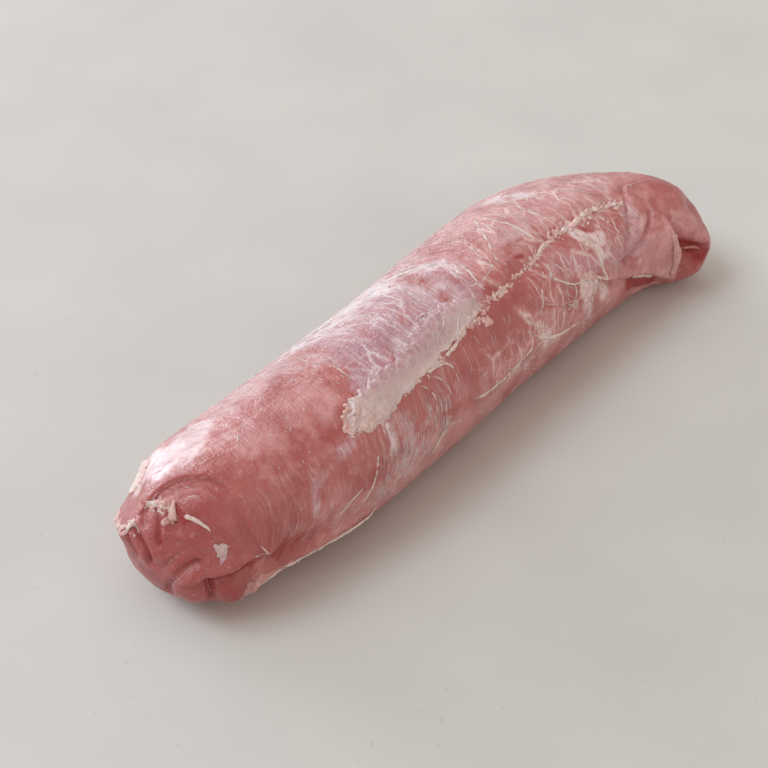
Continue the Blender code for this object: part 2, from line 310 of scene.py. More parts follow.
def surface(tape, angle):
    """Points of the smooth muscle at tape distances and angles in radians"""
    along, scale = section_scale(np.asarray(tape, float))
    shift, half, height = (spline(STATIONS[:, 0], STATIONS[:, k], along) for k in (1, 2, 3))
    full_height = height + SINK
    side, up = np.sin(angle), np.cos(angle)
    fullness = np.where(up > 0, UPPER_FULLNESS, LOWER_FULLNESS)
    reach = scale * (np.abs(side)**fullness + np.abs(up)**fullness)**(-1 / fullness)
    share = np.where(up > 0, 1 - WIDEST, WIDEST)
    z = WIDEST * full_height - SINK + full_height * share * reach * up
    points = np.broadcast_arrays(along - LENGTH / 2, shift - half * reach * side, np.maximum(z, 0))
    return np.stack(points, axis=-1)


def outward(tape, angle, step=0.0004):
    """Directions straight out of the smooth muscle"""
    along = surface(np.minimum(tape + step, TAPE), angle) - surface(np.maximum(tape - step, 0), angle)
    turn = step / 0.02
    round_it = surface(tape, angle + turn) - surface(tape, angle - turn)
    out = np.cross(round_it, along)
    return out / np.maximum(np.linalg.norm(out, axis=-1, keepdims=True), 1e-12)


def smooth_path(points, count=None, spacing=0.0006):
    """Tape distances and angles, evenly spaced, on a smooth line through a few named places"""
    tape, angle = np.array(points, float).T
    steps = np.hypot(np.diff(tape), np.radians(np.diff(angle)) * ARM)
    knots = np.append(0, np.cumsum(steps))
    at = np.linspace(0, knots[-1], count or int(knots[-1] / spacing) + 2)
    return spline(knots, tape, at), np.radians(spline(knots, angle, at))


def beside(places, points, reach):
    """Which places lie within reach of a line over the muscle, how far off, and on which side of it"""
    line = surface(*smooth_path(points))
    low, high = line.min(axis=0) - reach, line.max(axis=0) + reach
    near = np.flatnonzero(((places > low) & (places < high)).all(axis=1))
    run = np.gradient(line, axis=0)
    run /= np.linalg.norm(run, axis=1, keepdims=True)
    distance, which = np.full(len(near), 1.0), np.zeros(len(near), int)
    for k, point in enumerate(line):
        gap = np.linalg.norm(places[near] - point, axis=1)
        closer = gap < distance
        distance[closer], which[closer] = gap[closer], k
    return near, distance, np.cross(run[which], places[near] - line[which])


def fold_height(places, out):
    """Height that all the folds add at each place"""
    height = np.zeros(len(places))
    for points, left, right, width, edge in FOLDS.values():
        near, distance, turn = beside(places, points, 2.4 * width)
        aside = np.einsum("ij,ij->i", turn, out[near])
        toward_left = 0.5 + 0.5 * np.tanh(aside / edge)
        height[near] += (right + (left - right) * toward_left) * np.exp(-(distance / width)**2)
    return height


def rough(places, size, octaves=3):
    """Cloudy noise from -1 to 1 at each place, with patches of about one size"""
    return np.array([noise.fractal(Vector(p) / size, 0.6, 2.0, octaves) for p in places])


FLOW_ANGLES = np.radians(np.linspace(-180, 180, 361))
FLOW_SHIFTS = spline(np.radians(list(FIBRE_TURNS)), np.array(list(FIBRE_TURNS.values())) / 1000, FLOW_ANGLES)
FLOW_HEADINGS = np.arctan2(ARM, np.gradient(FLOW_SHIFTS, FLOW_ANGLES))


def across_fibres(tape, angle):
    """Distance along the muscle with the run of its fibres taken off: the same all along one fibre"""
    return tape - np.interp(angle, FLOW_ANGLES, FLOW_SHIFTS)


def skin(tape, angle, lift=0.0):
    """Points of the finished skin with its folds and wrinkles, raised by a lift, and directions out of it"""
    tape, angle = np.atleast_1d(tape).astype(float), np.atleast_1d(angle).astype(float)
    places, out = surface(tape, angle), outward(tape, angle)
    ends = (tape <= 0) | (tape >= TAPE)
    out[ends] = np.where(tape[ends, None] <= 0, (-1, 0, 0), (1, 0, 0))
    swell = np.sin(2 * np.pi * tape / SWELL_LENGTH + 1.5 * np.sin(angle)) * np.cos(2 * angle)
    height = fold_height(places, out) + SWELL * swell * section_scale(tape)[1]
    above_table = np.clip(places[:, 2] / STILL_HEIGHT, 0, 1)
    for depth, size in WRINKLES:
        height += depth * above_table * rough(places, size)
    depth, width, length = FIBRE_RIDGES
    turned = np.remainder(angle + np.pi, 2 * np.pi) - np.pi
    ridge_places = np.stack([across_fibres(tape, turned) / width, turned * ARM / length, 0 * tape], axis=-1)
    off_middle = np.clip((np.pi - np.abs(turned)) / RIDGE_FADE, 0, 1)
    height += depth * above_table * off_middle * section_scale(tape)[1] * rough(ridge_places, 1.0, 2)
    raised = places + out * (height + lift)[:, None]
    raised[:, 2] = np.where(places[:, 2] <= 0, 0, np.maximum(raised[:, 2], 0))
    return raised, out


def zone_strength(places, lines, ragged):
    """How strongly a colour zone shows at each place; ragged moves its edges in and out"""
    strength = np.zeros(len(places))
    for points, reach, soft, top in lines:
        near, distance, _ = beside(places, points, reach + soft)
        share = np.clip((reach - distance + ragged[near] * soft) / soft + 0.5, 0, 1)
        strength[near] = np.maximum(strength[near], top * share)
    return strength


# Rows and columns of the skin: fine at the folded ends and on the shown side, wider spaced behind and below
ROWS = np.concatenate([
    np.linspace(0.0005, 0.056, 122, endpoint=False),
    np.linspace(0.056, 0.212, 214, endpoint=False),
    np.linspace(0.212, TAPE - 0.0005, 128),
])
TURNS = np.radians(np.concatenate([
    np.linspace(-72, 128, 172, endpoint=False),
    np.linspace(128, 288, 42, endpoint=False),
]))

columns = len(TURNS)
tape, angle = (grid.ravel() for grid in np.meshgrid(ROWS, TURNS, indexing="ij"))
tape, angle = np.append(tape, [0, TAPE]), np.append(angle, [0, 0])
skin_points, _ = skin(tape, angle)

ring = np.arange(columns)
after = (ring + 1) % columns
starts = (np.arange(len(ROWS) - 1) * columns)[:, None]
quads = np.stack([starts + ring, starts + after, starts + columns + after, starts + columns + ring], axis=-1)
near_pole, far_pole, last = len(tape) - 2, len(tape) - 1, (len(ROWS) - 1) * columns
caps = [(near_pole, k, j) for j, k in zip(ring, after)]
caps += [(last + j, last + k, far_pole) for j, k in zip(ring, after)]
meat_mesh = bpy.data.meshes.new("pork_tenderloin")
meat_faces = quads.reshape(-1, 4).tolist() + [tuple(map(int, c)) for c in caps]
meat_mesh.from_pydata(skin_points.tolist(), [], meat_faces)
meat_mesh.shade_smooth()
meat = bpy.data.objects.new("pork_tenderloin", meat_mesh)
bpy.context.scene.collection.objects.link(meat)

# The map along the fibres is cut once, along an edge under the meat, and no face reaches over the cut
left = np.where(TURNS > np.pi, TURNS - 2 * np.pi, TURNS)
right = left + np.diff(TURNS, append=TURNS[0] + 2 * np.pi)
middle = (left + right) / 2
corner_angle = np.concatenate([
    np.tile(np.stack([left, right, right, left], axis=-1).ravel(), len(ROWS) - 1),
    np.stack([middle, right, left], axis=-1).ravel(),
    np.stack([left, right, middle], axis=-1).ravel(),
])
corners = np.zeros(len(meat_mesh.loops), int)
meat_mesh.loops.foreach_get("vertex_index", corners)
corner_place = np.stack([across_fibres(tape[corners], corner_angle), corner_angle * ARM], axis=-1)
meat_mesh.uv_layers.new(name="along_the_fibres").uv.foreach_set("vector", corner_place.ravel())

RAGGED_SIZE, RAGGEDNESS = 0.006, 0.8  # of the zones' edges
smooth_places = surface(tape, angle)
ragged_edge = rough(smooth_places, RAGGED_SIZE) * RAGGEDNESS
for zone, lines in ZONES.items():
    layer = meat_mesh.attributes.new(zone, "FLOAT", "POINT")
    layer.data.foreach_set("value", zone_strength(smooth_places, lines, ragged_edge))


def linear(hex_colour):
    """Scene colour of an sRGB hex value"""
    channels = [int(hex_colour[k:k + 2], 16) / 255 for k in (1, 3, 5)]
    return [c / 12.92 if c <= 0.04045 else ((c + 0.055) / 1.055)**2.4 for c in channels] + [1.0]


def add(tree, kind, inputs=None, out=0, **settings):
    """Add a node, set its options, fill its inputs with values or other nodes' outputs, give one output"""
    made = tree.nodes.new(kind)
    for name, value in settings.items():
        setattr(made, name, value)
    for name, value in (inputs or {}).items():
        if isinstance(value, bpy.types.NodeSocket):
            tree.links.new(value, made.inputs[name])
        else:
            made.inputs[name].default_value = value
    return made.outputs[out] if made.outputs else made


def new_material(name):
    """Material with no nodes yet, and its node tree"""
    material = bpy.data.materials.new(name)
    material.use_nodes = True
    material.node_tree.nodes.clear()
    return material, material.node_tree


# Wet raw pork: lean meat scatters light, so its pinks are soft; the moist film on it gives broad pale gloss.
# Fibres, veins and fascia run round the muscle, so their patterns read the map along its fibres.
pork, tree = new_material("raw pork muscle, moist, under thin fascia")
MOTTLE_SIZE, FLECK_SIZE, GRAIN_SIZE = 0.011, 0.0016, 0.0009
SWAY, SWAY_SIZE = 0.004, 0.016  # how far the fibre patterns wander off the map, and over what distance
KINK, KINK_SIZE = 0.0030, 0.0035  # the same for the small kinks in the nets
FIBRE_WIDTH, FIBRE_LENGTH = 0.0006, 0.016
BUNDLE_WIDTH, BUNDLE_LENGTH = 0.0026, 0.030
# Nets of veins: cell sizes across and along the fibres, and the share of a cell that its line takes up
VEIN_NET, FINE_NET = (0.0062, 0.0150, 0.090), (0.0030, 0.0066, 0.120)
place = add(tree, "ShaderNodeTexCoord", out="Object")
chart = add(tree, "ShaderNodeUVMap", uv_map="along_the_fibres")
silver, milk_and_painted_highlight, fat, blood_and_crease_shade, veined, fibrous, hazy_tissue_and_painted_light, slick_film_and_painted_highlight, mauve, deep = (
    add(tree, "ShaderNodeAttribute", out="Fac", attribute_name=name) for name in ZONES)
mottle = add(tree, "ShaderNodeTexNoise", {"Vector": place, "Scale": 1 / MOTTLE_SIZE, "Detail": 4.0})
flecks = add(tree, "ShaderNodeTexNoise",
             {"Vector": place, "Scale": 1 / FLECK_SIZE, "Detail": 3.0, "Roughness": 0.6})
grain = add(tree, "ShaderNodeTexNoise", {"Vector": place, "Scale": 1 / GRAIN_SIZE, "Detail": 3.0})
sway = add(tree, "ShaderNodeTexNoise", {"Vector": place, "Scale": 1 / SWAY_SIZE, "Detail": 2.0}, out="Color")
swayed = add(tree, "ShaderNodeVectorMath", {0: sway, 1: (SWAY, SWAY, 0.0), 2: chart},
             operation="MULTIPLY_ADD")
streaks = []
for width, length in ((FIBRE_WIDTH, FIBRE_LENGTH), (BUNDLE_WIDTH, BUNDLE_LENGTH)):
    drawn_out = add(tree, "ShaderNodeVectorMath", {0: swayed, 1: (1 / width, 1 / length, 1.0)},
                    operation="MULTIPLY")
    streaks.append(add(tree, "ShaderNodeTexNoise",
                       {"Vector": drawn_out, "Scale": 1.0, "Detail": 2.5, "Roughness": 0.55}))
fibres, bundles = streaks
kink = add(tree, "ShaderNodeTexNoise", {"Vector": place, "Scale": 1 / KINK_SIZE, "Detail": 2.0}, out="Color")
kinked = add(tree, "ShaderNodeVectorMath", {0: kink, 1: (KINK, KINK, 0.0), 2: swayed},
             operation="MULTIPLY_ADD")
nets = []
for cell_across, cell_along, line_share in (VEIN_NET, FINE_NET):
    cells = add(tree, "ShaderNodeVectorMath", {0: kinked, 1: (1 / cell_across, 1 / cell_along, 0.0)},
                operation="MULTIPLY")
    to_edge = add(tree, "ShaderNodeTexVoronoi", {"Vector": cells, "Scale": 1.0}, out="Distance",
                  feature="DISTANCE_TO_EDGE", voronoi_dimensions="2D")
    nets.append(add(tree, "ShaderNodeMapRange", {
        "Value": to_edge, "From Min": 0.0, "From Max": line_share, "To Min": 1.0, "To Max": 0.0}))
faded = add(tree, "ShaderNodeMapRange", {"Value": mottle, "From Min": 0.38, "From Max": 0.56})
net = add(tree, "ShaderNodeMath", {0: nets[1], 1: 0.5, 2: nets[0]}, operation="MULTIPLY_ADD", use_clamp=True)
net = add(tree, "ShaderNodeMath", {0: net, 1: faded}, operation="MULTIPLY")
net_share = add(tree, "ShaderNodeMath", {0: net, 1: veined}, operation="MULTIPLY")

lean = add(tree, "ShaderNodeValToRGB", {0: mottle})
ramp = lean.node.color_ramp
ramp.elements[0].position, ramp.elements[0].color = 0.32, linear("#a54c4b")
ramp.elements[1].position, ramp.elements[1].color = 0.68, linear("#bb6967")

# Shares of the surface: each rises from 0 to its top as a pattern goes from one level to another
fat_edge = add(tree, "ShaderNodeMath", {0: flecks, 1: 0.9, 2: fat}, operation="MULTIPLY_ADD")
fibre_more = add(tree, "ShaderNodeMath", {0: fibrous, 1: 0.9, 2: 0.07},
                 operation="MULTIPLY_ADD", use_clamp=True)
RISES = (
    (mottle, 0.10, 0.60, 0.75), (flecks, 0.57, 0.72, 0.50), (bundles, 0.50, 0.66, 0.55),
    (fibres, 0.52, 0.72, 0.75), (flecks, 0.50, 0.64, 1.0), (mottle, 0.62, 0.45, 0.45),
    (bundles, 0.50, 0.62, 0.30), (fibres, 0.56, 0.70, 0.40), (fibres, 0.25, 0.55, 1.0),
    (fat_edge, 0.66, 0.96, 1.0), (flecks, 0.60, 0.68, 1.0),
)
(haze_and_light_patches, paler_flecks, pale_bundles, pale_fibres, mauve_flecks, mauve_spots, silver_bundles, silver_fibres,
 milk_and_highlight_streaks, ragged_fat, beads) = (
    add(tree, "ShaderNodeMapRange", {"Value": pattern, "From Min": low, "From Max": high, "To Max": top})
    for pattern, low, high, top in RISES)

# Layers over the lean meat, from the deepest up: colour, and the shares that are multiplied for its strength
LAYERS = (
    ("#9c3c3f", (deep, 0.60)),
    # pale haze of tissue, and painted light on the far top, the near top and the tucked tail
    ("#dba3a5", (hazy_tissue_and_painted_light, haze_and_light_patches)),
    ("#cf8f8b", (paler_flecks,)),
    ("#c88f8e", (pale_bundles, fibrous)),
    ("#e0b4b1", (pale_fibres, fibre_more)),
    ("#efcfcc", (net_share, 0.95)),
    ("#c096a0", (silver, 0.74)),
    ("#a2697a", (mauve, silver, 0.55)),
    ("#a3656e", (silver, mauve_flecks, mauve_spots)),
    ("#d3bcc4", (silver, silver_bundles)),
    ("#e9dade", (silver, net, 0.75)),
    ("#eadadd", (silver, silver_fibres)),
    # milky film, and painted highlight on the near top and the far top
    ("#e8d8dc", (milk_and_painted_highlight, milk_and_highlight_streaks)),
    # painted highlight on the smooth glossy film
    ("#e8d6dc", (slick_film_and_painted_highlight, 0.62)),
    ("#ecd3d1", (ragged_fat, fat)),
    # blood red, and painted shade in the folds, creases, hollows and under the flap's edge
    ("#982427", (blood_and_crease_shade, 0.90)),
)
colour = lean
for hex_colour, shares in LAYERS:
    share = shares[0]
    for factor in shares[1:]:
        share = add(tree, "ShaderNodeMath", {0: share, 1: factor}, operation="MULTIPLY", use_clamp=True)
    colour = add(tree, "ShaderNodeMix", {0: share, 6: colour, 7: linear(hex_colour)}, out=2, data_type="RGBA")

# Relief too fine for the mesh, in mm: fibre ridges, grain, raised veins, sparse moist beads that catch light.
# The slick film is stretched smooth over it, and the torn red meat, with the creases of painted shade, is
# less glossy.
relief = 0.0
for pattern, height in ((fibres, 0.30), (grain, 0.24), (net_share, 0.18), (beads, 0.16)):
    relief = add(tree, "ShaderNodeMath", {0: pattern, 1: height, 2: relief}, operation="MULTIPLY_ADD")
unstretched = add(tree, "ShaderNodeMath", {0: slick_film_and_painted_highlight, 1: -0.85, 2: 1.0}, operation="MULTIPLY_ADD")
relief = add(tree, "ShaderNodeMath", {0: relief, 1: unstretched}, operation="MULTIPLY")
bump = add(tree, "ShaderNodeBump", {"Height": relief, "Distance": 0.001})
wet_bump = add(tree, "ShaderNodeBump", {"Height": relief, "Distance": 0.0012})
wetness = add(tree, "ShaderNodeMath", {0: blood_and_crease_shade, 1: -0.6, 2: 0.9}, operation="MULTIPLY_ADD")
dullness = add(tree, "ShaderNodeMath", {0: slick_film_and_painted_highlight, 1: -0.07, 2: 0.27}, operation="MULTIPLY_ADD")
dullness = add(tree, "ShaderNodeMath", {0: beads, 1: -0.14, 2: dullness}, operation="MULTIPLY_ADD")
shader = add(tree, "ShaderNodeBsdfPrincipled", {
    "Base Color": colour, "Normal": bump, "Roughness": 0.45, "IOR": 1.42, "Specular IOR Level": 0.3,
    "Subsurface Weight": 0.25, "Subsurface Radius": (1.0, 0.35, 0.25), "Subsurface Scale": 0.003,
    "Coat Weight": wetness, "Coat Roughness": dullness, "Coat IOR": 1.55, "Coat Normal": wet_bump,
})
add(tree, "ShaderNodeOutputMaterial", {"Surface": shader})
meat_mesh.materials.append(pork)
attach(meat, "root")
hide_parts("tenderloin")


# Silver skin and veins.
# Connective tissue lies on the muscle as thin wet strands: striations over the back and top, long fibres that
# curve down the front, and a net of veins towards the far end. Each is a thin thread half sunk in the skin.
STRAND_STEP = 0.0009
HEADING_SPREAD = 7  # degrees

# Strand groups: seed, how many, where they start (tape, degrees), how far they lean off the fibres in
# degrees, length, thickness, how pale
STRAND_GROUPS = {
    "striations rising over the back":
        (11, 80, (0.066, 0.150), (-92, -40), 0, (0.014, 0.034), 0.00010, 0.7),
    "striations over the top":
        (12, 16, (0.100, 0.150), (-40, 10), -10, (0.006, 0.014), 0.00010, 0.6),
    "long fibres down the front":
        (13, 130, (0.088, 0.122), (46, 84), 0, (0.010, 0.030), 0.00012, 0.75),
    "fibres at the near end's side":
        (21, 60, (0.050, 0.084), (54, 100), 8, (0.004, 0.010), 0.00008, 0.5),
    "veins over the far top":
        (14, 28, (0.152, 0.232), (-44, 12), 4, (0.007, 0.020), 0.00012, 0.6),
    "veins that lean over the far top":
        (15, 16, (0.152, 0.226), (-50, 4), -30, (0.008, 0.022), 0.00012, 0.6),
    "veins behind the far top":
        (22, 70, (0.150, 0.240), (-120, -50), 0, (0.010, 0.030), 0.00012, 0.55),
    "fibres down the back":
        (23, 90, (0.050, 0.230), (-160, -90), 0, (0.010, 0.034), 0.00011, 0.5),
    "web low on the front":
        (16, 22, (0.146, 0.214), (44, 92), 10, (0.006, 0.018), 0.00011, 0.5),
    "web that leans low on the front":
        (24, 26, (0.150, 0.216), (48, 92), -38, (0.006, 0.016), 0.00011, 0.6),
    "web along the front":
        (17, 26, (0.128, 0.206), (66, 96), -84, (0.006, 0.020), 0.00012, 0.7),
    # Short pale flecks that stand proud to catch light; their pale colour also paints small glints on the
    # near top
    "short flecks and painted glints in the lean":
        (19, 60, (0.044, 0.094), (-30, 50), 0, (0.0006, 0.0020), 0.00013, 0.9),
    "flecks along the front":
        (20, 70, (0.108, 0.172), (42, 74), 4, (0.0010, 0.0050), 0.00011, 0.7),
}


def strand(tape, angle, thickness, lift, pale):
    """One thread over the meat: five equally long lists"""
    return np.stack(np.broadcast_arrays(tape, angle, thickness, lift, pale))


def grown_strands(seed, count, tapes, angles, lean, lengths, thickness, pale):
    """Strands that start at random places and run with the fibres, or lean off them"""
    draw = np.random.default_rng(seed)
    grown = []
    for _ in range(count):
        length = draw.uniform(*lengths)
        share = np.linspace(0, 1, int(length / STRAND_STEP) + 3)
        run = length / (len(share) - 1)
        wave = 4 * np.sin(share * draw.uniform(3, 9) + draw.uniform(0, 6))
        turns = np.radians(lean + draw.normal(0, HEADING_SPREAD) + wave)
        tape, angle = draw.uniform(*tapes), np.radians(draw.uniform(*angles))
        route = []
        for turn in turns:
            route.append((tape, angle))
            heading = np.interp(angle, FLOW_ANGLES, FLOW_HEADINGS) + turn
            tape, angle = tape + run * np.cos(heading), angle + run * np.sin(heading) / ARM
        arch = np.sin(np.pi * share)
        tape, angle = np.array(route).T
        grown.append(strand(tape, angle, thickness * draw.uniform(0.6, 1.3) * (0.4 + 0.6 * arch**0.7), 0.0,
                            pale * draw.uniform(0.5, 1.1) * arch**0.8))
    return grown


def thread_guide(name, strands):
    """Object with an open line over the skin for each strand, with thickness and paleness at each point"""
    tape, angle, thickness, lift, pale = np.concatenate(strands, axis=1)
    tape = np.clip(tape, 0.002, TAPE - 0.002)
    points, out = skin(tape, angle, lift)
    ends = set(np.cumsum([s.shape[1] for s in strands]).tolist())
    mesh = bpy.data.meshes.new(name)
    mesh.from_pydata(points.tolist(), [(k, k + 1) for k in range(len(tape) - 1) if k + 1 not in ends], [])
    mesh.attributes.new("thickness", "FLOAT", "POINT").data.foreach_set("value", thickness)
    mesh.attributes.new("pale", "FLOAT", "POINT").data.foreach_set("value", np.clip(pale, 0, 1))
    mesh.attributes.new("out", "FLOAT_VECTOR", "POINT").data.foreach_set("vector", out.ravel())
    guide = bpy.data.objects.new(name, mesh)
    bpy.context.scene.collection.objects.link(guide)
    return guide


def new_growth(name, inputs):
    """Geometry node tree with named inputs, and its input and output nodes"""
    growth = bpy.data.node_groups.new(name, "GeometryNodeTree")
    growth.interface.new_socket("Geometry", in_out="INPUT", socket_type="NodeSocketGeometry")
    for label, kind in inputs.items():
        growth.interface.new_socket(label, in_out="INPUT", socket_type=kind)
    growth.interface.new_socket("Geometry", in_out="OUTPUT", socket_type="NodeSocketGeometry")
    return growth, growth.nodes.new("NodeGroupInput").outputs


def grow(guide, growth, inputs):
    """Turn a guide into the plain mesh that a node tree grows on it"""
    modifier = guide.modifiers.new("growth", "NODES")
    modifier.node_group = growth
    for item in growth.interface.items_tree:
        if item.in_out == "INPUT" and item.name in inputs:
            modifier[item.identifier] = inputs[item.name]
    graph = bpy.context.evaluated_depsgraph_get()
    mesh = bpy.data.meshes.new_from_object(guide.evaluated_get(graph))
    guide.modifiers.clear()
    mesh.name = guide.name
    guide.data = mesh
    return guide


# Threads: each line becomes a closed thread, flattened onto the skin, that swells, thins and kinks slightly
threads, given = new_growth("threads over the meat", {
    "Flatness": "NodeSocketFloat", "Kink": "NodeSocketFloat", "Kink Size": "NodeSocketFloat",
    "Sides": "NodeSocketInt", "Material": "NodeSocketMaterial"})
lines = add(threads, "GeometryNodeMeshToCurve", {"Mesh": given["Geometry"]})
spot = add(threads, "GeometryNodeInputPosition")
per_metre = add(threads, "ShaderNodeMath", {0: 1.0, 1: given["Kink Size"]}, operation="DIVIDE")
shake = add(threads, "ShaderNodeTexNoise", {"Vector": spot, "Scale": per_metre, "Detail": 1.0}, out="Color")
shake = add(threads, "ShaderNodeVectorMath", {0: shake, 1: (0.5, 0.5, 0.5)}, operation="SUBTRACT")
shake = add(threads, "ShaderNodeVectorMath", {0: shake, "Scale": given["Kink"]}, operation="SCALE")
lines = add(threads, "GeometryNodeSetPosition", {"Geometry": lines, "Offset": shake})
thick = add(threads, "GeometryNodeInputNamedAttribute", {"Name": "thickness"}, data_type="FLOAT")
swelling = add(threads, "ShaderNodeTexNoise", {"Vector": spot, "Scale": per_metre, "Detail": 2.0})
swelling = add(threads, "ShaderNodeMath", {0: swelling, 1: 1.2, 2: 0.4}, operation="MULTIPLY_ADD")
thick = add(threads, "ShaderNodeMath", {0: thick, 1: swelling}, operation="MULTIPLY")
out = add(threads, "GeometryNodeInputNamedAttribute", {"Name": "out"}, data_type="FLOAT_VECTOR")
lines = add(threads, "GeometryNodeSetCurveNormal", {"Curve": lines, "Normal": out}, mode="FREE")
ring_line = add(threads, "GeometryNodeCurvePrimitiveCircle", {"Resolution": given["Sides"], "Radius": 1.0})
squeeze = add(threads, "ShaderNodeCombineXYZ", {"X": given["Flatness"], "Y": 1.0, "Z": 1.0})
ring_line = add(threads, "GeometryNodeTransform", {"Geometry": ring_line, "Scale": squeeze})
tubes = add(threads, "GeometryNodeCurveToMesh",
            {"Curve": lines, "Profile Curve": ring_line, "Scale": thick, "Fill Caps": True})
tubes = add(threads, "GeometryNodeSetShadeSmooth", {"Geometry": tubes})
tubes = add(threads, "GeometryNodeRealizeInstances", {"Geometry": tubes})
tubes = add(threads, "GeometryNodeSetMaterial", {"Geometry": tubes, "Material": given["Material"]})
add(threads, "NodeGroupOutput", {"Geometry": tubes})

# Wet connective tissue: where it is thin it takes on the pink of the meat under it, so its ends fade away
TISSUE_PATCH_SIZE = 0.004
tissue, tree = new_material("connective tissue threads, wet and half clear")
place = add(tree, "ShaderNodeTexCoord", out="Object")
pale = add(tree, "ShaderNodeAttribute", out="Fac", attribute_name="pale")
patches = add(tree, "ShaderNodeTexNoise", {"Vector": place, "Scale": 1 / TISSUE_PATCH_SIZE, "Detail": 3.0})
whiteness = add(tree, "ShaderNodeMath", {0: patches, 1: 0.7, 2: pale}, operation="MULTIPLY_ADD")
shades = add(tree, "ShaderNodeValToRGB", {0: whiteness})
ramp = shades.node.color_ramp
ramp.elements[0].position, ramp.elements[0].color = 0.35, linear("#bb7472")
ramp.elements[1].position, ramp.elements[1].color = 1.0, linear("#ebd3d1")
ramp.elements.new(0.8).color = linear("#d6a5a3")
shader = add(tree, "ShaderNodeBsdfPrincipled", {
    "Base Color": shades, "Roughness": 0.40, "IOR": 1.42, "Specular IOR Level": 0.3,
    "Subsurface Weight": 0.3, "Subsurface Radius": (1.0, 0.5, 0.4), "Subsurface Scale": 0.0015,
    "Coat Weight": 0.6, "Coat Roughness": 0.28, "Coat IOR": 1.5,
})
add(tree, "ShaderNodeOutputMaterial", {"Surface": shader})

strands = [s for group in STRAND_GROUPS.values() for s in grown_strands(*group)]
silver_strands = grow(thread_guide("silver_skin_strands", strands), threads,
                      {"Flatness": 0.40, "Kink": 0.0005, "Kink Size": 0.004, "Sides": 6, "Material": tissue})
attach(silver_strands, "root")


# Fat threads.
# White fat and thick connective tissue fill the seam between the two muscles and branch over the front, and
# torn edges of fat rim the flaps at both ends. They are thicker threads, with the same tree as the strands.

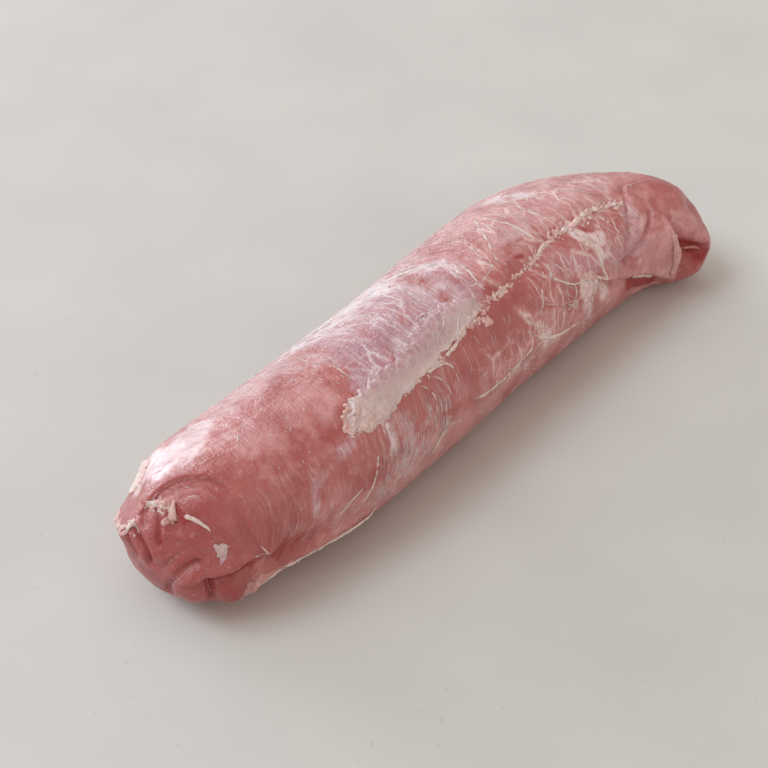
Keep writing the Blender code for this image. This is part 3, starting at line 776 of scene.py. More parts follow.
# Fat threads: points of the line, thickness in mm at its start, middle and end, how far it stands proud in
# mm, how white it is, and how broken
FAT_THREADS = {
    "seam thread, near part":
        ([(0.136, 38), (0.145, 35), (0.151, 33), (0.160, 33), (0.166, 33)], 0.3, 0.5, 0.5, 0.1, 0.8, 0.9),
    "seam thread, middle":
        ([(0.166, 33), (0.173, 32), (0.180, 31), (0.187, 27), (0.194, 24)], 0.5, 0.7, 0.8, 0.1, 0.9, 1.0),
    "seam thread, far part":
        ([(0.194, 24), (0.202, 26), (0.207, 25), (0.212, 23), (0.220, 24), (0.230, 27)],
         0.8, 1.2, 0.6, 0.35, 1.0, 0.75),
    "fork of the seam":
        ([(0.206, 26), (0.211, 28), (0.216, 30), (0.217, 36), (0.218, 43)], 0.6, 0.5, 0.2, 0.0, 0.7, 0.6),
    "white vein off the seam":
        ([(0.202, 30), (0.203, 38), (0.206, 46), (0.206, 56), (0.206, 66), (0.206, 80)],
         0.5, 0.8, 0.3, 0.0, 1.0, 0.2),
    "loop below the seam":
        ([(0.186, 36), (0.183, 40), (0.182, 46), (0.185, 54), (0.189, 60), (0.194, 63), (0.200, 65)],
         0.2, 0.5, 0.7, 0.0, 0.9, 0.3),
    "loop to the vein":
        ([(0.200, 65), (0.203, 69), (0.206, 74)], 0.6, 0.5, 0.3, 0.0, 0.9, 0.2),
    "slanting vein in the loop":
        ([(0.186, 40), (0.188, 50), (0.190, 58)], 0.2, 0.3, 0.2, 0.0, 0.8, 0.2),
    "vein down to the ridge":
        ([(0.181, 34), (0.179, 42), (0.175, 50), (0.173, 58), (0.168, 63)], 0.3, 0.3, 0.2, 0.0, 0.7, 0.4),
    "web under the loop":
        ([(0.190, 60), (0.189, 68), (0.186, 73), (0.181, 76)], 0.3, 0.4, 0.2, 0.0, 0.7, 0.4),
    "web across the front":
        ([(0.173, 58), (0.180, 66), (0.188, 75), (0.198, 82)], 0.2, 0.3, 0.2, 0.0, 0.6, 0.3),
    "web beside the ridge":
        ([(0.201, 71), (0.197, 79), (0.194, 88), (0.189, 94)], 0.4, 0.3, 0.2, 0.0, 0.7, 0.4),
    "far branch":
        ([(0.214, 34), (0.216, 43), (0.220, 52), (0.224, 62)], 0.2, 0.3, 0.2, 0.0, 0.6, 0.2),
    "branch to the tucked tail":
        ([(0.209, 66), (0.218, 66), (0.227, 65), (0.236, 64), (0.241, 62)], 0.3, 0.3, 0.1, 0.0, 0.5, 0.1),
    "branch to the dip":
        ([(0.220, 55), (0.225, 50), (0.229, 46), (0.234, 38)], 0.2, 0.3, 0.2, 0.0, 0.6, 0.3),
    "vein over the bulge":
        ([(0.226, 36), (0.230, 42), (0.236, 43), (0.242, 43)], 0.2, 0.3, 0.1, 0.0, 0.5, 0.3),
    "pale line by the far crease":
        ([(0.234, 12), (0.238, 8), (0.243, 5), (0.248, 3)], 0.4, 0.3, 0.1, 0.0, 0.5, 0.1),
    "ridge low on the front":
        ([(0.130, 79), (0.137, 83), (0.143, 85), (0.152, 85), (0.158, 83), (0.164, 78)],
         0.3, 0.6, 0.5, 0.1, 0.9, 0.6),
    "ridge running on":
        ([(0.164, 72), (0.168, 78), (0.173, 84), (0.180, 88), (0.190, 90)], 0.6, 0.8, 0.3, 0.1, 0.9, 0.5),
    "vein below the ridge":
        ([(0.152, 86), (0.150, 92), (0.146, 98)], 0.3, 0.3, 0.1, 0.0, 0.7, 0.2),
    "branching vein":
        ([(0.110, 101), (0.113, 94), (0.116, 88), (0.119, 81), (0.121, 75)], 0.3, 0.5, 0.1, 0.0, 0.8, 0.2),
    "its side branch":
        ([(0.116, 86), (0.121, 86), (0.125, 91)], 0.3, 0.3, 0.1, 0.0, 0.7, 0.2),
    "white strand down the front":
        ([(0.087, 62), (0.086, 71), (0.084, 79), (0.081, 87), (0.077, 95), (0.073, 102)],
         0.4, 0.4, 0.1, 0.0, 0.8, 0.3),
    "lower white strand":
        ([(0.079, 80), (0.072, 87), (0.067, 94)], 0.3, 0.4, 0.1, 0.0, 0.8, 0.1),
    "thorn under the strip":
        ([(0.121, 44), (0.125, 46), (0.127, 52)], 0.4, 0.4, 0.2, 0.1, 0.9, 0.1),
    "far front hair":
        ([(0.112, 46), (0.115, 54), (0.115, 64), (0.112, 76)], 0.3, 0.3, 0.1, 0.0, 0.7, 0.3),
    "near front hair":
        ([(0.118, 46), (0.121, 54), (0.122, 66)], 0.3, 0.3, 0.1, 0.0, 0.7, 0.3),
    "lilac strand over the top":
        ([(0.134, -35), (0.138, -31), (0.142, -26), (0.146, -21), (0.152, -12)],
         0.3, 0.6, 0.3, 0.0, 0.9, 0.1),
    "crossing strand":
        ([(0.100, -41), (0.106, -28), (0.113, -22), (0.118, -14), (0.119, 6)], 0.2, 0.4, 0.2, 0.0, 0.8, 0.2),
    "long strand over the back":
        ([(0.098, -56), (0.112, -47), (0.121, -44), (0.127, -37), (0.129, -19), (0.130, 1)],
         0.2, 0.5, 0.2, 0.0, 0.9, 0.2),
    "second strand over the back":
        ([(0.108, -56), (0.120, -50), (0.130, -41), (0.134, -21), (0.135, 2), (0.136, 12)],
         0.2, 0.4, 0.2, 0.0, 0.8, 0.2),
    "third strand over the back":
        ([(0.134, -46), (0.143, -32), (0.148, -24), (0.151, -13), (0.152, -4)], 0.2, 0.4, 0.2, 0.0, 0.8, 0.2),
    "edge of the film, near side":
        ([(0.090, -30), (0.090, -14), (0.093, -4), (0.094, 10), (0.095, 20)], 0.3, 0.4, 0.3, 0.0, 0.6, 0.4),
    "lattice across the film":
        ([(0.140, 17), (0.134, 17), (0.128, 18), (0.123, 19), (0.118, 17)], 0.15, 0.25, 0.2, 0.25, 0.8, 0.5),
    "second lattice strand":
        ([(0.140, 20), (0.135, 24), (0.131, 28), (0.127, 30), (0.121, 29)], 0.2, 0.25, 0.2, 0.35, 0.8, 0.5),
    "third lattice strand":
        ([(0.117, 16), (0.120, 19), (0.124, 24), (0.126, 29)], 0.15, 0.25, 0.2, 0.35, 0.8, 0.5),
    "fourth lattice strand":
        ([(0.115, 22), (0.119, 24), (0.125, 28), (0.130, 28), (0.134, 33)], 0.15, 0.25, 0.25, 0.35, 0.8, 0.5),
    "lattice over the top":
        ([(0.136, 12), (0.130, 12), (0.125, 10), (0.119, 12)], 0.2, 0.25, 0.15, 0.1, 0.8, 0.5),
    "lattice at the strip's end":
        ([(0.145, 20), (0.141, 26), (0.137, 33), (0.134, 38)], 0.3, 0.35, 0.3, 0.35, 0.8, 0.5),
    "cut edge of the strip":
        ([(0.102, 46), (0.107, 44), (0.112, 43), (0.120, 43), (0.128, 42), (0.135, 40), (0.142, 37),
          (0.147, 38)], 0.2, 0.6, 0.7, 0.1, 0.85, 0.7),
    "first vein over the far top":
        ([(0.193, -30), (0.196, -20), (0.202, -12), (0.208, -6)], 0.2, 0.4, 0.2, 0.0, 0.7, 0.3),
    "second vein over the far top":
        ([(0.184, -10), (0.190, -6), (0.195, -2), (0.201, 4)], 0.2, 0.4, 0.2, 0.0, 0.7, 0.2),
    "vein to the seam":
        ([(0.195, -12), (0.196, 2), (0.198, 11), (0.202, 16)], 0.3, 0.5, 0.3, 0.0, 0.8, 0.2),
    "forked vein to the seam":
        ([(0.182, -12), (0.185, 0), (0.186, 12), (0.187, 21)], 0.3, 0.5, 0.7, 0.0, 0.9, 0.2),
    "vein across the middle":
        ([(0.180, -24), (0.175, -10), (0.171, 4), (0.168, 14), (0.170, 25)], 0.2, 0.4, 0.3, 0.0, 0.8, 0.3),
    "short vein before it":
        ([(0.170, -20), (0.166, -6), (0.164, 8), (0.163, 20)], 0.2, 0.3, 0.2, 0.0, 0.7, 0.3),
    "vein at the strip's end":
        ([(0.157, 0), (0.156, 12), (0.155, 22), (0.156, 30)], 0.3, 0.4, 0.3, 0.0, 0.8, 0.3),
    "vein joining two others":
        ([(0.168, 14), (0.162, 19), (0.156, 20), (0.150, 17)], 0.2, 0.3, 0.2, 0.0, 0.7, 0.3),
    "far vein":
        ([(0.213, -20), (0.214, -6), (0.218, 2), (0.221, 12)], 0.2, 0.4, 0.2, 0.0, 0.6, 0.3),
    "farthest vein":
        ([(0.226, -6), (0.227, 6), (0.232, 10)], 0.2, 0.3, 0.1, 0.0, 0.6, 0.2),
    "rim of the near end":
        ([(0.021, -8), (0.027, -3), (0.032, 3), (0.036, 12), (0.039, 22), (0.040, 34)],
         0.4, 0.2, 0.1, 0.0, 0.3, 0.6),
    "first arc beside the rim":
        ([(0.028, 6), (0.032, 11), (0.035, 15)], 0.1, 0.2, 0.1, 0.0, 0.5, 0.3),
    "second arc beside the rim":
        ([(0.030, 18), (0.032, 22), (0.034, 26)], 0.1, 0.3, 0.1, 0.0, 0.7, 0.2),
    # Pale lines along the flap's rim and the lobes' outlines: partly pale tissue, partly painted highlights
    # along those edges
    "rim of the flap, with a painted highlight":
        ([(0.024, 89), (0.028, 87.5), (0.032, 86.5), (0.036, 85), (0.041, 83)], 0.2, 0.3, 0.5, 0.7, 0.8, 0.2),
    "end of the flap":
        ([(0.041, 76), (0.0425, 84), (0.0425, 94)], 0.2, 0.4, 0.2, 0.2, 0.5, 0.2),
    "painted highlight on the round lobe's outline":
        ([(0.014, 126), (0.014, 108), (0.016, 88), (0.020, 75), (0.024, 70)], 0.3, 0.3, 0.2, 0.0, 0.4, 0.3),
    "painted highlight on the lobe's far outline":
        ([(0.0235, 82), (0.0245, 92), (0.0255, 104), (0.027, 121)], 0.2, 0.25, 0.2, 0.0, 0.35, 0.3),
    "arc above the lobe":
        ([(0.012, 76), (0.014, 64), (0.018, 57), (0.022, 56)], 0.1, 0.2, 0.1, 0.0, 0.4, 0.3),
    "white strip on the cut face":
        ([(0.0260, 29), (0.0275, 34), (0.0287, 40), (0.0297, 46), (0.0303, 51)],
         0.75, 0.6, 0.15, 0.3, 0.7, 0.0),
    "white lumps by the rim":
        ([(0.021, -9), (0.022, -2), (0.0225, 4), (0.023, 11)], 0.7, 1.0, 0.7, 0.2, 0.8, 0.6),
    "cream edge down the near end":
        ([(0.019, -78), (0.014, -62), (0.010, -48), (0.010, -29), (0.0125, -20)],
         0.3, 0.5, 0.8, 0.1, 0.45, 0.5),
    "cream corner on the near end":
        ([(0.010, -30), (0.0115, -22), (0.0135, -15), (0.0115, -6)], 0.7, 0.9, 0.4, 0.3, 0.8, 0.5),
    # Two short white lines on the smooth lean are painted glints: white colour where small highlights lie
    "painted glint on the smooth lean":
        ([(0.0505, 8), (0.0520, 5), (0.0525, 3)], 0.1, 0.25, 0.1, 0.0, 1.0, 0.1),
    "second painted glint on the smooth lean":
        ([(0.0655, 22), (0.0660, 21), (0.0665, 19)], 0.1, 0.2, 0.1, 0.0, 1.0, 0.1),
    "edge of the membrane at the foot":
        ([(0.036, 129), (0.041, 122), (0.044, 114), (0.049, 113), (0.056, 116), (0.064, 113), (0.074, 109),
          (0.086, 107)], 0.9, 0.9, 0.4, 0.5, 0.85, 0.2),
    "rim of the tucked tail":
        ([(0.241, 62), (0.2420, 72), (0.2425, 84), (0.2425, 96), (0.241, 108)],
         0.6, 1.6, 1.1, 0.1, 0.50, 0.0),
    "loose edge at the far foot":
        ([(0.211, 78), (0.218, 85), (0.226, 94)], 0.1, 0.2, 0.3, 0.2, 0.4, 0.2),
    "thick rim of the loose edge":
        ([(0.220, 87), (0.226, 94), (0.232, 101), (0.236, 109)], 0.5, 1.2, 1.3, 0.9, 0.9, 0.0),
    "layer in the pocket":
        ([(0.246, 86), (0.249, 87), (0.256, 92)], 0.4, 0.6, 0.3, 0.0, 0.0, 0.0),
}
MM = 0.001
BREAK_SIZE = 0.0026  # of the patches where a thread is broken

fat_lines = []
for points, start, middle, end, proud, pale, broken in FAT_THREADS.values():
    tape, angle = smooth_path(points, spacing=0.0004)
    share = np.linspace(0, 1, len(tape))
    thickness = MM * spline(np.array([0, 0.5, 1]), np.array([start, middle, end]), share)
    gaps = broken * np.clip(0.5 - 2.0 * rough(surface(tape, angle), BREAK_SIZE), 0, 1)
    ends = np.clip(14 * share * (1 - share), 0.25, 1)
    fat_lines.append(strand(tape, angle, thickness * ends * (1 - 0.7 * gaps), MM * (proud - 0.4 * gaps),
                            pale * (0.35 + 0.65 * ends) * (1 - 0.5 * gaps)))

# Raw fat: white with a little yellow and pink, wax-like, wet on top, finely lumpy, pinker where it is thin
FAT_CLOUD_SIZE, FAT_LUMP_SIZE = 0.003, 0.0011
raw_fat, tree = new_material("raw pork fat, firm and moist")
place = add(tree, "ShaderNodeTexCoord", out="Object")
pale = add(tree, "ShaderNodeAttribute", out="Fac", attribute_name="pale")
clouds = add(tree, "ShaderNodeTexNoise", {"Vector": place, "Scale": 1 / FAT_CLOUD_SIZE, "Detail": 4.0})
lumps = add(tree, "ShaderNodeTexNoise", {"Vector": place, "Scale": 1 / FAT_LUMP_SIZE, "Detail": 3.0})
whiteness = add(tree, "ShaderNodeMath", {0: clouds, 1: 0.5, 2: pale}, operation="MULTIPLY_ADD")
shades = add(tree, "ShaderNodeValToRGB", {0: whiteness})
ramp = shades.node.color_ramp
ramp.elements[0].position, ramp.elements[0].color = 0.35, linear("#bd7774")
ramp.elements[1].position, ramp.elements[1].color = 1.0, linear("#e6ccc5")
ramp.elements.new(0.75).color = linear("#cf9d99")
bump = add(tree, "ShaderNodeBump", {"Height": lumps, "Distance": 0.0005})
shader = add(tree, "ShaderNodeBsdfPrincipled", {
    "Base Color": shades, "Normal": bump, "Roughness": 0.45, "IOR": 1.44, "Specular IOR Level": 0.3,
    "Subsurface Weight": 0.4, "Subsurface Radius": (1.0, 0.6, 0.4), "Subsurface Scale": 0.002,
    "Coat Weight": 0.7, "Coat Roughness": 0.24, "Coat Normal": bump,
})
add(tree, "ShaderNodeOutputMaterial", {"Surface": shader})

fat_threads = grow(thread_guide("fat_threads", fat_lines), threads,
                   {"Flatness": 0.45, "Kink": 0.0005, "Kink Size": 0.0025, "Sides": 10, "Material": raw_fat})
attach(fat_threads, "root")


# Fat tags.
# Small soft points of fat and film stand off the meat where the knife pulled at them. Each is a bent cone.

# Tags: root (tape, degrees), how wide it is there, tip (tape, degrees), how far the tip stands off, in mm
TAGS = {
    "peak of fat on the near end": ((0.0222, 22), 2.3, (0.0270, 14), 1.8),
    "knob beside the peak": ((0.0220, 9), 1.4, (0.0226, 7), 1.3),
    "tag of the membrane": ((0.0530, 114), 0.8, (0.0560, 126), 1.6),
    "second tag of the membrane": ((0.0800, 107), 0.6, (0.0806, 116), 1.2),
    "tip of the flap": ((0.0415, 84), 0.8, (0.0435, 85), 0.6),
    "tail below the fat strip": ((0.0835, 43), 1.3, (0.0785, 47), 0.3),
    "tip of the loose edge": ((0.2350, 106), 1.3, (0.2390, 112), 1.6),
    "curl on the tucked tail": ((0.2415, 68), 1.5, (0.2440, 64), 1.5),
}
TAG_RINGS, TAG_SIDES = 9, 10

tag_mesh = bmesh.new()
for (tape, angle), width, (tip_tape, tip_angle), height in TAGS.values():
    share = np.linspace(0, 1, TAG_RINGS)
    line, out = skin(tape + (tip_tape - tape) * share, np.radians(angle + (tip_angle - angle) * share),
                     MM * (height * share**1.5 - 0.5))
    toward = Vector(line[-1] - line[0]).normalized()
    side = toward.cross(Vector(out[0])).normalized()
    other = side.cross(toward)
    rings = []
    for k in range(TAG_RINGS):
        reach = MM * width * (1 - 0.9 * share[k]**0.7)
        turns = 2 * np.pi * np.arange(TAG_SIDES)[:, None] / TAG_SIDES
        ring = line[k] + reach * (np.cos(turns) * np.array(side) + 0.7 * np.sin(turns) * np.array(other))
        rings.append([tag_mesh.verts.new(point) for point in ring])
    for low, high in zip(rings, rings[1:]):
        for k in range(TAG_SIDES):
            j = (k + 1) % TAG_SIDES
            tag_mesh.faces.new((low[k], low[j], high[j], high[k]))
    tag_mesh.faces.new(rings[0][::-1])
    tag_mesh.faces.new(rings[-1])
bmesh.ops.recalc_face_normals(tag_mesh, faces=tag_mesh.faces)
tags = bpy.data.objects.new("fat_tags", bpy.data.meshes.new("fat_tags"))
tag_mesh.to_mesh(tags.data)
tag_mesh.free()
tags.data.attributes.new("pale", "FLOAT", "POINT").data.foreach_set("value", [0.6] * len(tags.data.vertices))
tags.data.materials.append(raw_fat)
tags.data.shade_smooth()
bpy.context.scene.collection.objects.link(tags)
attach(tags, "root")


# Fat crumbs.
# Where the butcher pulled the fat away, small soft crumbs of it stay along the seam and the ridge. They are
# lumps of random size on points along those lines, melted a little out of round.

# Rows of crumbs: seed, how many, points of the line, how far they stray, size
CRUMB_ROWS = {
    "along the seam":
        (31, 120, [(0.148, 34), (0.156, 33), (0.166, 33), (0.180, 31), (0.187, 27), (0.196, 24)],
         0.0008, 0.0008),
    "along the far seam":
        (32, 150, [(0.192, 25), (0.199, 25), (0.207, 25), (0.212, 23), (0.220, 24), (0.230, 27)],
         0.0009, 0.0008),
    "on the seam's fork": (43, 30, [(0.204, 28), (0.210, 30), (0.215, 31), (0.217, 38)], 0.0011, 0.0006),
    "torn end of the strip": (33, 60, [(0.081, 43), (0.083, 38), (0.0845, 32), (0.087, 28)], 0.0010, 0.0009),
    "lower torn edge": (34, 30, [(0.082, 44), (0.086, 45), (0.093, 48)], 0.0007, 0.0007),
    "top of the torn end": (44, 24, [(0.087, 28), (0.092, 27), (0.096, 25)], 0.0007, 0.0006),
    "end of the strip": (35, 40, [(0.140, 37), (0.145, 37), (0.148, 40), (0.147, 43)], 0.0010, 0.0010),
    "along the cut edge": (45, 40, [(0.112, 43), (0.124, 43), (0.136, 40)], 0.0006, 0.0006),
    "by the white patch": (36, 36, [(0.202, 34), (0.205, 42), (0.210, 43)], 0.0013, 0.0007),
    "lump on the loop": (46, 16, [(0.195, 61), (0.199, 64), (0.201, 69)], 0.0010, 0.0009),
    "lump by the ridge": (47, 12, [(0.165, 59), (0.167, 62)], 0.0008, 0.0010),
    "top of the ridge": (37, 34, [(0.164, 64), (0.167, 70), (0.171, 80)], 0.0013, 0.0007),
    "along the ridge": (38, 34, [(0.134, 81), (0.148, 85), (0.160, 82)], 0.0007, 0.0005),
    "near end": (39, 40, [(0.020, -8), (0.022, 0), (0.023, 8), (0.023, 14)], 0.0012, 0.0008),
    "round the fat peak": (48, 12, [(0.0215, 14), (0.0215, 20), (0.0215, 27)], 0.0008, 0.0008),
    "near end's corner": (40, 34, [(0.011, -26), (0.0135, -16), (0.0115, -6)], 0.0007, 0.0008),
    "near end's cream edge": (49, 40, [(0.020, -76), (0.012, -58), (0.010, -36)], 0.0010, 0.0009),
    "near end's foot": (50, 24, [(0.036, 127), (0.039, 119), (0.043, 112)], 0.0010, 0.0008),
    # This row is a painted glint: tiny pale crumbs where a small highlight lies on the top
    "top glint": (41, 14, [(0.136, -22), (0.150, -9)], 0.0022, 0.0004),
    "over the lower web": (42, 40, [(0.190, 64), (0.202, 72), (0.208, 80)], 0.0022, 0.0005),
}

crumbs, given = new_growth("crumbs over the meat", {
    "Fineness": "NodeSocketFloat", "Seed": "NodeSocketInt", "Lump": "NodeSocketFloat",
    "Lump Size": "NodeSocketFloat", "Paleness": "NodeSocketFloat", "Material": "NodeSocketMaterial"})
dots = add(crumbs, "GeometryNodeMeshToPoints", {"Mesh": given["Geometry"]})
ball = add(crumbs, "GeometryNodeMeshIcoSphere", {"Radius": 1.0, "Subdivisions": 2})
size = add(crumbs, "GeometryNodeInputNamedAttribute", {"Name": "thickness"}, data_type="FLOAT")
stretch = add(crumbs, "FunctionNodeRandomValue",
              {0: (0.6, 0.6, 0.6), 1: (1.5, 1.3, 1.1), "Seed": given["Seed"]}, data_type="FLOAT_VECTOR")
scale = add(crumbs, "ShaderNodeVectorMath", {0: stretch, "Scale": size}, operation="SCALE")
spin = add(crumbs, "FunctionNodeRandomValue", {1: (6.3, 6.3, 6.3), "Seed": given["Seed"]},
           data_type="FLOAT_VECTOR")
blobs = add(crumbs, "GeometryNodeInstanceOnPoints",
            {"Points": dots, "Instance": ball, "Rotation": spin, "Scale": scale})
blobs = add(crumbs, "GeometryNodeRealizeInstances", {"Geometry": blobs})
mass = add(crumbs, "GeometryNodeMeshToVolume",
           {"Mesh": blobs, "Voxel Size": given["Fineness"], "Interior Band Width": 0.0005},
           resolution_mode="VOXEL_SIZE")
blobs = add(crumbs, "GeometryNodeVolumeToMesh",
            {"Volume": mass, "Voxel Size": given["Fineness"], "Threshold": 0.1}, resolution_mode="VOXEL_SIZE")
spot = add(crumbs, "GeometryNodeInputPosition")
per_metre = add(crumbs, "ShaderNodeMath", {0: 1.0, 1: given["Lump Size"]}, operation="DIVIDE")
melt = add(crumbs, "ShaderNodeTexNoise", {"Vector": spot, "Scale": per_metre, "Detail": 1.0}, out="Color")
melt = add(crumbs, "ShaderNodeVectorMath", {0: melt, 1: (0.5, 0.5, 0.5)}, operation="SUBTRACT")
melt = add(crumbs, "ShaderNodeVectorMath", {0: melt, "Scale": given["Lump"]}, operation="SCALE")
blobs = add(crumbs, "GeometryNodeSetPosition", {"Geometry": blobs, "Offset": melt})
blobs = add(crumbs, "GeometryNodeStoreNamedAttribute",
            {"Geometry": blobs, "Name": "pale", "Value": given["Paleness"]},
            data_type="FLOAT", domain="POINT")
blobs = add(crumbs, "GeometryNodeSetShadeSmooth", {"Geometry": blobs})
blobs = add(crumbs, "GeometryNodeSetMaterial", {"Geometry": blobs, "Material": given["Material"]})
add(crumbs, "NodeGroupOutput", {"Geometry": blobs})

crumb_places = []
for seed, count, points, stray, size in CRUMB_ROWS.values():
    draw = np.random.default_rng(seed)
    tape, angle = smooth_path(points, count)
    tape = tape + draw.normal(0, stray, count)
    angle = angle + draw.normal(0, stray, count) / ARM
    bulk = size * np.clip(draw.lognormal(-0.35, 0.4, count), 0.3, 1.7)
    crumb_places.append(strand(tape, angle, bulk, -0.4 * bulk, 1.0))
fat_crumbs = grow(thread_guide("seam_fat_crumbs", crumb_places), crumbs,
                  {"Fineness": 0.00022, "Seed": 5, "Lump": 0.0010, "Lump Size": 0.0016,
                   "Paleness": 0.56, "Material": raw_fat})
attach(fat_crumbs, "root")


# Fat strip and scraps.
# A flat strip of fat and film is left along the seam, torn and lumpy at its near end, with a crisp cut edge
# on the shown side; smaller scraps lie on the near end. Each is a low closed cake that follows the skin.
def pillows(places, size):
    """Rounded lumps with creases between them, from 0 to 1 at each place"""
    nearest = np.array([noise.voronoi(Vector(p) / size)[0][:2] for p in places])
    return np.clip(1.8 * (nearest[:, 1] - nearest[:, 0]), 0, 1)**0.5


def patch(name, first_edge, second_edge, rise, rows, cells, ragged, lumps, film):
    """Closed low piece on the skin between two edges

    rise and film give its height and how much of it is film, from the shares along and across it.
    ragged gives how far its outline strays, and over what size; lumps give their height and size.
    """
    across = 0.5 - 0.5 * np.cos(np.pi * np.linspace(0, 1, cells))
    u, v = np.meshgrid(np.linspace(0, 1, rows), across, indexing="ij")
    (tape_a, angle_a), (tape_b, angle_b) = smooth_path(first_edge, rows), smooth_path(second_edge, rows)
    tape = (tape_a[:, None] * (1 - v) + tape_b[:, None] * v).ravel()
    angle = (angle_a[:, None] * (1 - v) + angle_b[:, None] * v).ravel()
    edge_near = np.maximum(np.abs(2 * u - 1), np.abs(2 * v - 1)).ravel()**3
    spots = surface(tape, angle)
    tape = tape + ragged[0] * rough(spots, ragged[1]) * edge_near
    angle = angle + ragged[0] * rough(spots + 1, ragged[1]) * edge_near / ARM
    inner = ((1 - np.abs(2 * u - 1)**8) * (1 - np.abs(2 * v - 1)**4)).ravel()
    bulk = np.clip(inner, 0, 1)**0.5
    amount = np.clip(film(u, v).ravel(), 0, 2)
    cell = pillows(spots, 1.3 * lumps[1])
    veiled = np.clip(amount - 1.1, 0, 0.8)
    lump = (0.6 * rough(spots, lumps[1]) + 1.4 * cell - 0.7) * np.clip(1.1 - amount, 0.20, 1.1)
    lift = bulk * (rise(u, v).ravel() + lumps[0] * (lump + 1.1 * veiled * (1 - cell)))
    amount = amount - 1.1 * veiled * (1 - cell)
    top, out = skin(tape, angle, lift - 0.0002)
    under = np.where(inner > 0, np.arange(len(tape)) + len(tape), np.arange(len(tape))).reshape(rows, cells)
    bottom = top - out * (lift + 0.0006)[:, None]
    index = np.arange(len(tape)).reshape(rows, cells)
    faces = []
    for grid in (index, under[:, ::-1]):
        corners = [grid[:-1, :-1], grid[1:, :-1], grid[1:, 1:], grid[:-1, 1:]]
        faces += np.stack(corners, axis=-1).reshape(-1, 4).tolist()
    mesh = bpy.data.meshes.new(name)
    mesh.from_pydata(np.concatenate([top, bottom]).tolist(), [], faces)
    for attribute, value in (("film", amount), ("pale", np.clip(1.1 - amount, 0, 1))):
        mesh.attributes.new(attribute, "FLOAT", "POINT").data.foreach_set("value", np.tile(value, 2))
    loose = bpy.data.objects.new(name, mesh)
    bpy.context.scene.collection.objects.link(loose)
    return loose


STRIP_TOP = [(0.0835, 33), (0.087, 27), (0.091, 27), (0.096, 24), (0.106, 23), (0.114, 21), (0.120, 16),
             (0.128, 14), (0.136, 14), (0.142, 18), (0.149, 27)]
STRIP_FOOT = [(0.0815, 42), (0.084, 45.5), (0.089, 48.5), (0.094, 50), (0.100, 48), (0.106, 45), (0.114, 43),
              (0.124, 43), (0.134, 40), (0.142, 37), (0.150, 35)]


def hump(at, middle, width):
    """Bell-shaped rise from 0 to 1 around a place"""
    return np.exp(-((at - middle) / width)**2)


strip = patch(
    "fat_strip", STRIP_TOP, STRIP_FOOT,
    lambda u, v: 0.00030 + 0.0012 * hump(u, 0.04, 0.12)
    + 0.0005 * hump(v, 0.92, 0.10) * np.clip(4 * u - 1, 0, 1)
    + 0.0007 * hump(u, 0.93, 0.10) + 0.0003 * hump(v, 0.5, 0.3) * hump(u, 0.25, 0.2),
    rows=270, cells=46, ragged=(0.0016, 0.0040), lumps=(0.0007, 0.0024),
    film=lambda u, v: 1.0 + 1.2 * hump(v, 0.0, 0.34 + 0.30 * hump(u, 0.66, 0.24)) - 1.5 * hump(u, 0.0, 0.17)
    - 0.9 * hump(v, 0.97, 0.10) * np.clip(4 * u - 1, 0, 1) - 0.5 * hump(u, 1.0, 0.16))

# Fat and film of the strip: opaque and creamy where thick, greyed lilac where only film is left over the meat
FILM_CLOUD_SIZE, FILM_LUMP_SIZE = 0.006, 0.0012
strip_fat, tree = new_material("fat thinning to film, moist")
place = add(tree, "ShaderNodeTexCoord", out="Object")
film = add(tree, "ShaderNodeAttribute", out="Fac", attribute_name="film")
clouds = add(tree, "ShaderNodeTexNoise", {"Vector": place, "Scale": 1 / FILM_CLOUD_SIZE, "Detail": 4.0})
lumps = add(tree, "ShaderNodeTexNoise", {"Vector": place, "Scale": 1 / FILM_LUMP_SIZE, "Detail": 3.0})
ragged_film = add(tree, "ShaderNodeMath", {0: clouds, 1: 0.9, 2: film}, operation="MULTIPLY_ADD")
film_share = add(tree, "ShaderNodeMapRange", {"Value": ragged_film, "From Min": 0.75, "From Max": 1.25})
thin = add(tree, "ShaderNodeMix", {0: clouds, 6: linear("#b39494"), 7: linear("#e0cfcb")},
           out=2, data_type="RGBA")
thick = add(tree, "ShaderNodeMix", {0: lumps, 6: linear("#c09b96"), 7: linear("#e6d0cb")},
            out=2, data_type="RGBA")
colour = add(tree, "ShaderNodeMix", {0: film_share, 6: thick, 7: thin}, out=2, data_type="RGBA")
veil_share = add(tree, "ShaderNodeMapRange", {"Value": ragged_film, "From Min": 1.50, "From Max": 2.05})
veil = add(tree, "ShaderNodeMix", {0: clouds, 6: linear("#a97a83"), 7: linear("#cba7ae")},
           out=2, data_type="RGBA")
colour = add(tree, "ShaderNodeMix", {0: veil_share, 6: colour, 7: veil}, out=2, data_type="RGBA")
bump = add(tree, "ShaderNodeBump", {"Height": lumps, "Distance": 0.0004})
shader = add(tree, "ShaderNodeBsdfPrincipled", {
    "Base Color": colour, "Normal": bump, "Roughness": 0.45, "IOR": 1.44, "Specular IOR Level": 0.3,
    "Subsurface Weight": 0.35, "Subsurface Radius": (1.0, 0.6, 0.45), "Subsurface Scale": 0.002,
    "Coat Weight": 0.8, "Coat Roughness": 0.24, "Coat IOR": 1.5, "Coat Normal": bump,
})
add(tree, "ShaderNodeOutputMaterial", {"Surface": shader})
strip.data.materials.append(strip_fat)

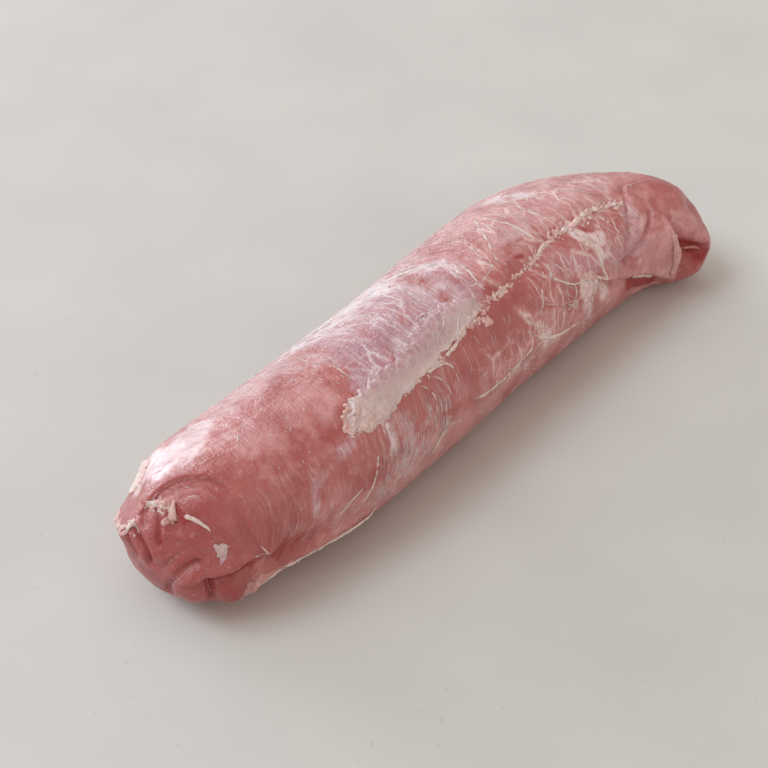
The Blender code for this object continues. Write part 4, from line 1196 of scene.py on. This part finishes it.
triangle = patch(
    "near_end_film_scrap",
    [(0.0288, 60), (0.0312, 62), (0.0338, 66)],
    [(0.0298, 77), (0.0301, 78), (0.0304, 77)],
    lambda u, v: 0.0004 + 0 * u, rows=30, cells=34, ragged=(0.0010, 0.0022), lumps=(0.0003, 0.0012),
    film=lambda u, v: 0.9 + 1.1 * v)
triangle.data.materials.append(strip_fat)
membrane = patch(
    "near_foot_membrane",
    [(0.035, 116), (0.038, 111), (0.041, 105), (0.045, 105), (0.050, 108), (0.056, 110), (0.064, 108),
     (0.072, 105)],
    [(0.036, 131), (0.040, 126), (0.043, 117), (0.047, 114), (0.053, 117), (0.058, 117), (0.066, 113),
     (0.074, 108)],
    lambda u, v: 0.00030 + 0.0004 * v, rows=120, cells=26, ragged=(0.0012, 0.0026), lumps=(0.0009, 0.0022),
    film=lambda u, v: 0.95 - 0.6 * v**3 - 0.3 * hump(u, 0.10, 0.14))
membrane.data.materials.append(raw_fat)
shoulder_fat = patch(
    "near_shoulder_fat",
    [(0.022, -62), (0.028, -64), (0.035, -60)],
    [(0.024, -38), (0.028, -35), (0.033, -36)],
    lambda u, v: 0.0007 + 0 * u, rows=60, cells=50, ragged=(0.0012, 0.0034), lumps=(0.0005, 0.0026),
    film=lambda u, v: 0.20 + 0.3 * v)
shoulder_fat.data.materials.append(raw_fat)
for piece in (strip, triangle, membrane, shoulder_fat):
    piece.data.shade_smooth()
    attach(piece, "root")


# The table.
# The meat lies on a plain pale stone top, smooth and matt, which takes its soft shadow.
TABLE_REACH = 3
CLOUDS_PER_METRE, PIT_SIZE = 18.0, 0.0022
table_mesh = bpy.data.meshes.new("table_top")
table_corners = [(TABLE_REACH * x, TABLE_REACH * y, 0) for x, y in ((-1, -1), (1, -1), (1, 1), (-1, 1))]
table_mesh.from_pydata(table_corners, [], [(0, 1, 2, 3)])
table_top = bpy.data.objects.new("table_top", table_mesh)
bpy.context.scene.collection.objects.link(table_top)
stone, tree = new_material("pale stone table, honed")
place = add(tree, "ShaderNodeTexCoord", out="Object")
clouds = add(tree, "ShaderNodeTexNoise", {"Vector": place, "Scale": CLOUDS_PER_METRE, "Detail": 5.0})
colour = add(tree, "ShaderNodeMix", {0: clouds, 6: linear("#c0bebb"), 7: linear("#d2d1cd")},
             out=2, data_type="RGBA")
pits = add(tree, "ShaderNodeTexNoise", {"Vector": place, "Scale": 1 / PIT_SIZE, "Detail": 2.0})
pit_share = add(tree, "ShaderNodeMapRange",
                {"Value": pits, "From Min": 0.70, "From Max": 0.76, "To Max": 0.35})
colour = add(tree, "ShaderNodeMix", {0: pit_share, 6: colour, 7: linear("#a19c96")}, out=2, data_type="RGBA")
bump = add(tree, "ShaderNodeBump", {"Height": clouds, "Distance": 0.0004})
shader = add(tree, "ShaderNodeBsdfPrincipled", {"Base Color": colour, "Normal": bump, "Roughness": 0.7})
add(tree, "ShaderNodeOutputMaterial", {"Surface": shader})
table_mesh.materials.append(stone)


# Light and camera.
# Soft window light from behind and to the left, a pale room round it, and the photograph's angle.
world = bpy.data.worlds.new("pale room")
bpy.context.scene.world = world
world.use_nodes = True
world.node_tree.nodes["Background"].inputs["Color"].default_value = (1.0, 0.86, 0.76, 1.0)
world.node_tree.nodes["Background"].inputs["Strength"].default_value = 0.62


LIGHT_DISTANCE = 5.0


def soft_light(name, azimuth, elevation, width, height, power, colour, gloss_only=False):
    """Large rectangular light in a direction from the meat, azimuth from +Y towards +X, facing it"""
    lamp = bpy.data.lights.new(name, "AREA")
    lamp.shape, lamp.size, lamp.size_y, lamp.energy, lamp.color = "RECTANGLE", width, height, power, colour
    azimuth, elevation = np.radians(azimuth), np.radians(elevation)
    toward = Vector((np.sin(azimuth) * np.cos(elevation), np.cos(azimuth) * np.cos(elevation),
                     np.sin(elevation)))
    holder = bpy.data.objects.new(name, lamp)
    holder.visible_diffuse = not gloss_only
    holder.location = toward * LIGHT_DISTANCE
    holder.rotation_euler = toward.to_track_quat("Z", "Y").to_euler()
    bpy.context.scene.collection.objects.link(holder)


soft_light("window", -54, 52, 2.4, 2.4, 124.0, (0.78, 0.91, 1.0))
soft_light("low_window", -8, 13, 3.0, 1.8, 140.0, (0.80, 0.92, 1.0))
soft_light("front_fill", 155, 22, 3.0, 2.4, 26.0, (1.0, 0.95, 0.92))
soft_light("gloss_panel", 10, 32, 3.4, 2.6, 125.0, (0.84, 0.95, 1.0), gloss_only=True)

CAMERA_AZIMUTH, CAMERA_ELEVATION = np.radians(-43), np.radians(42)
CAMERA_TARGET, CAMERA_DISTANCE, VIEW_ANGLE = (-0.0195, -0.002, 0.020), 0.565, np.radians(25)
toward_camera = Vector((np.sin(CAMERA_AZIMUTH) * np.cos(CAMERA_ELEVATION),
                        -np.cos(CAMERA_AZIMUTH) * np.cos(CAMERA_ELEVATION), np.sin(CAMERA_ELEVATION)))
camera_data = bpy.data.cameras.new("camera")
camera_data.sensor_fit, camera_data.angle = "HORIZONTAL", VIEW_ANGLE
camera = bpy.data.objects.new("camera", camera_data)
camera.location = Vector(CAMERA_TARGET) + toward_camera * CAMERA_DISTANCE
camera.rotation_euler = (-toward_camera).to_track_quat("-Z", "Y").to_euler()
bpy.context.scene.collection.objects.link(camera)
bpy.context.scene.camera = camera
bpy.context.scene.view_settings.view_transform = "Standard"
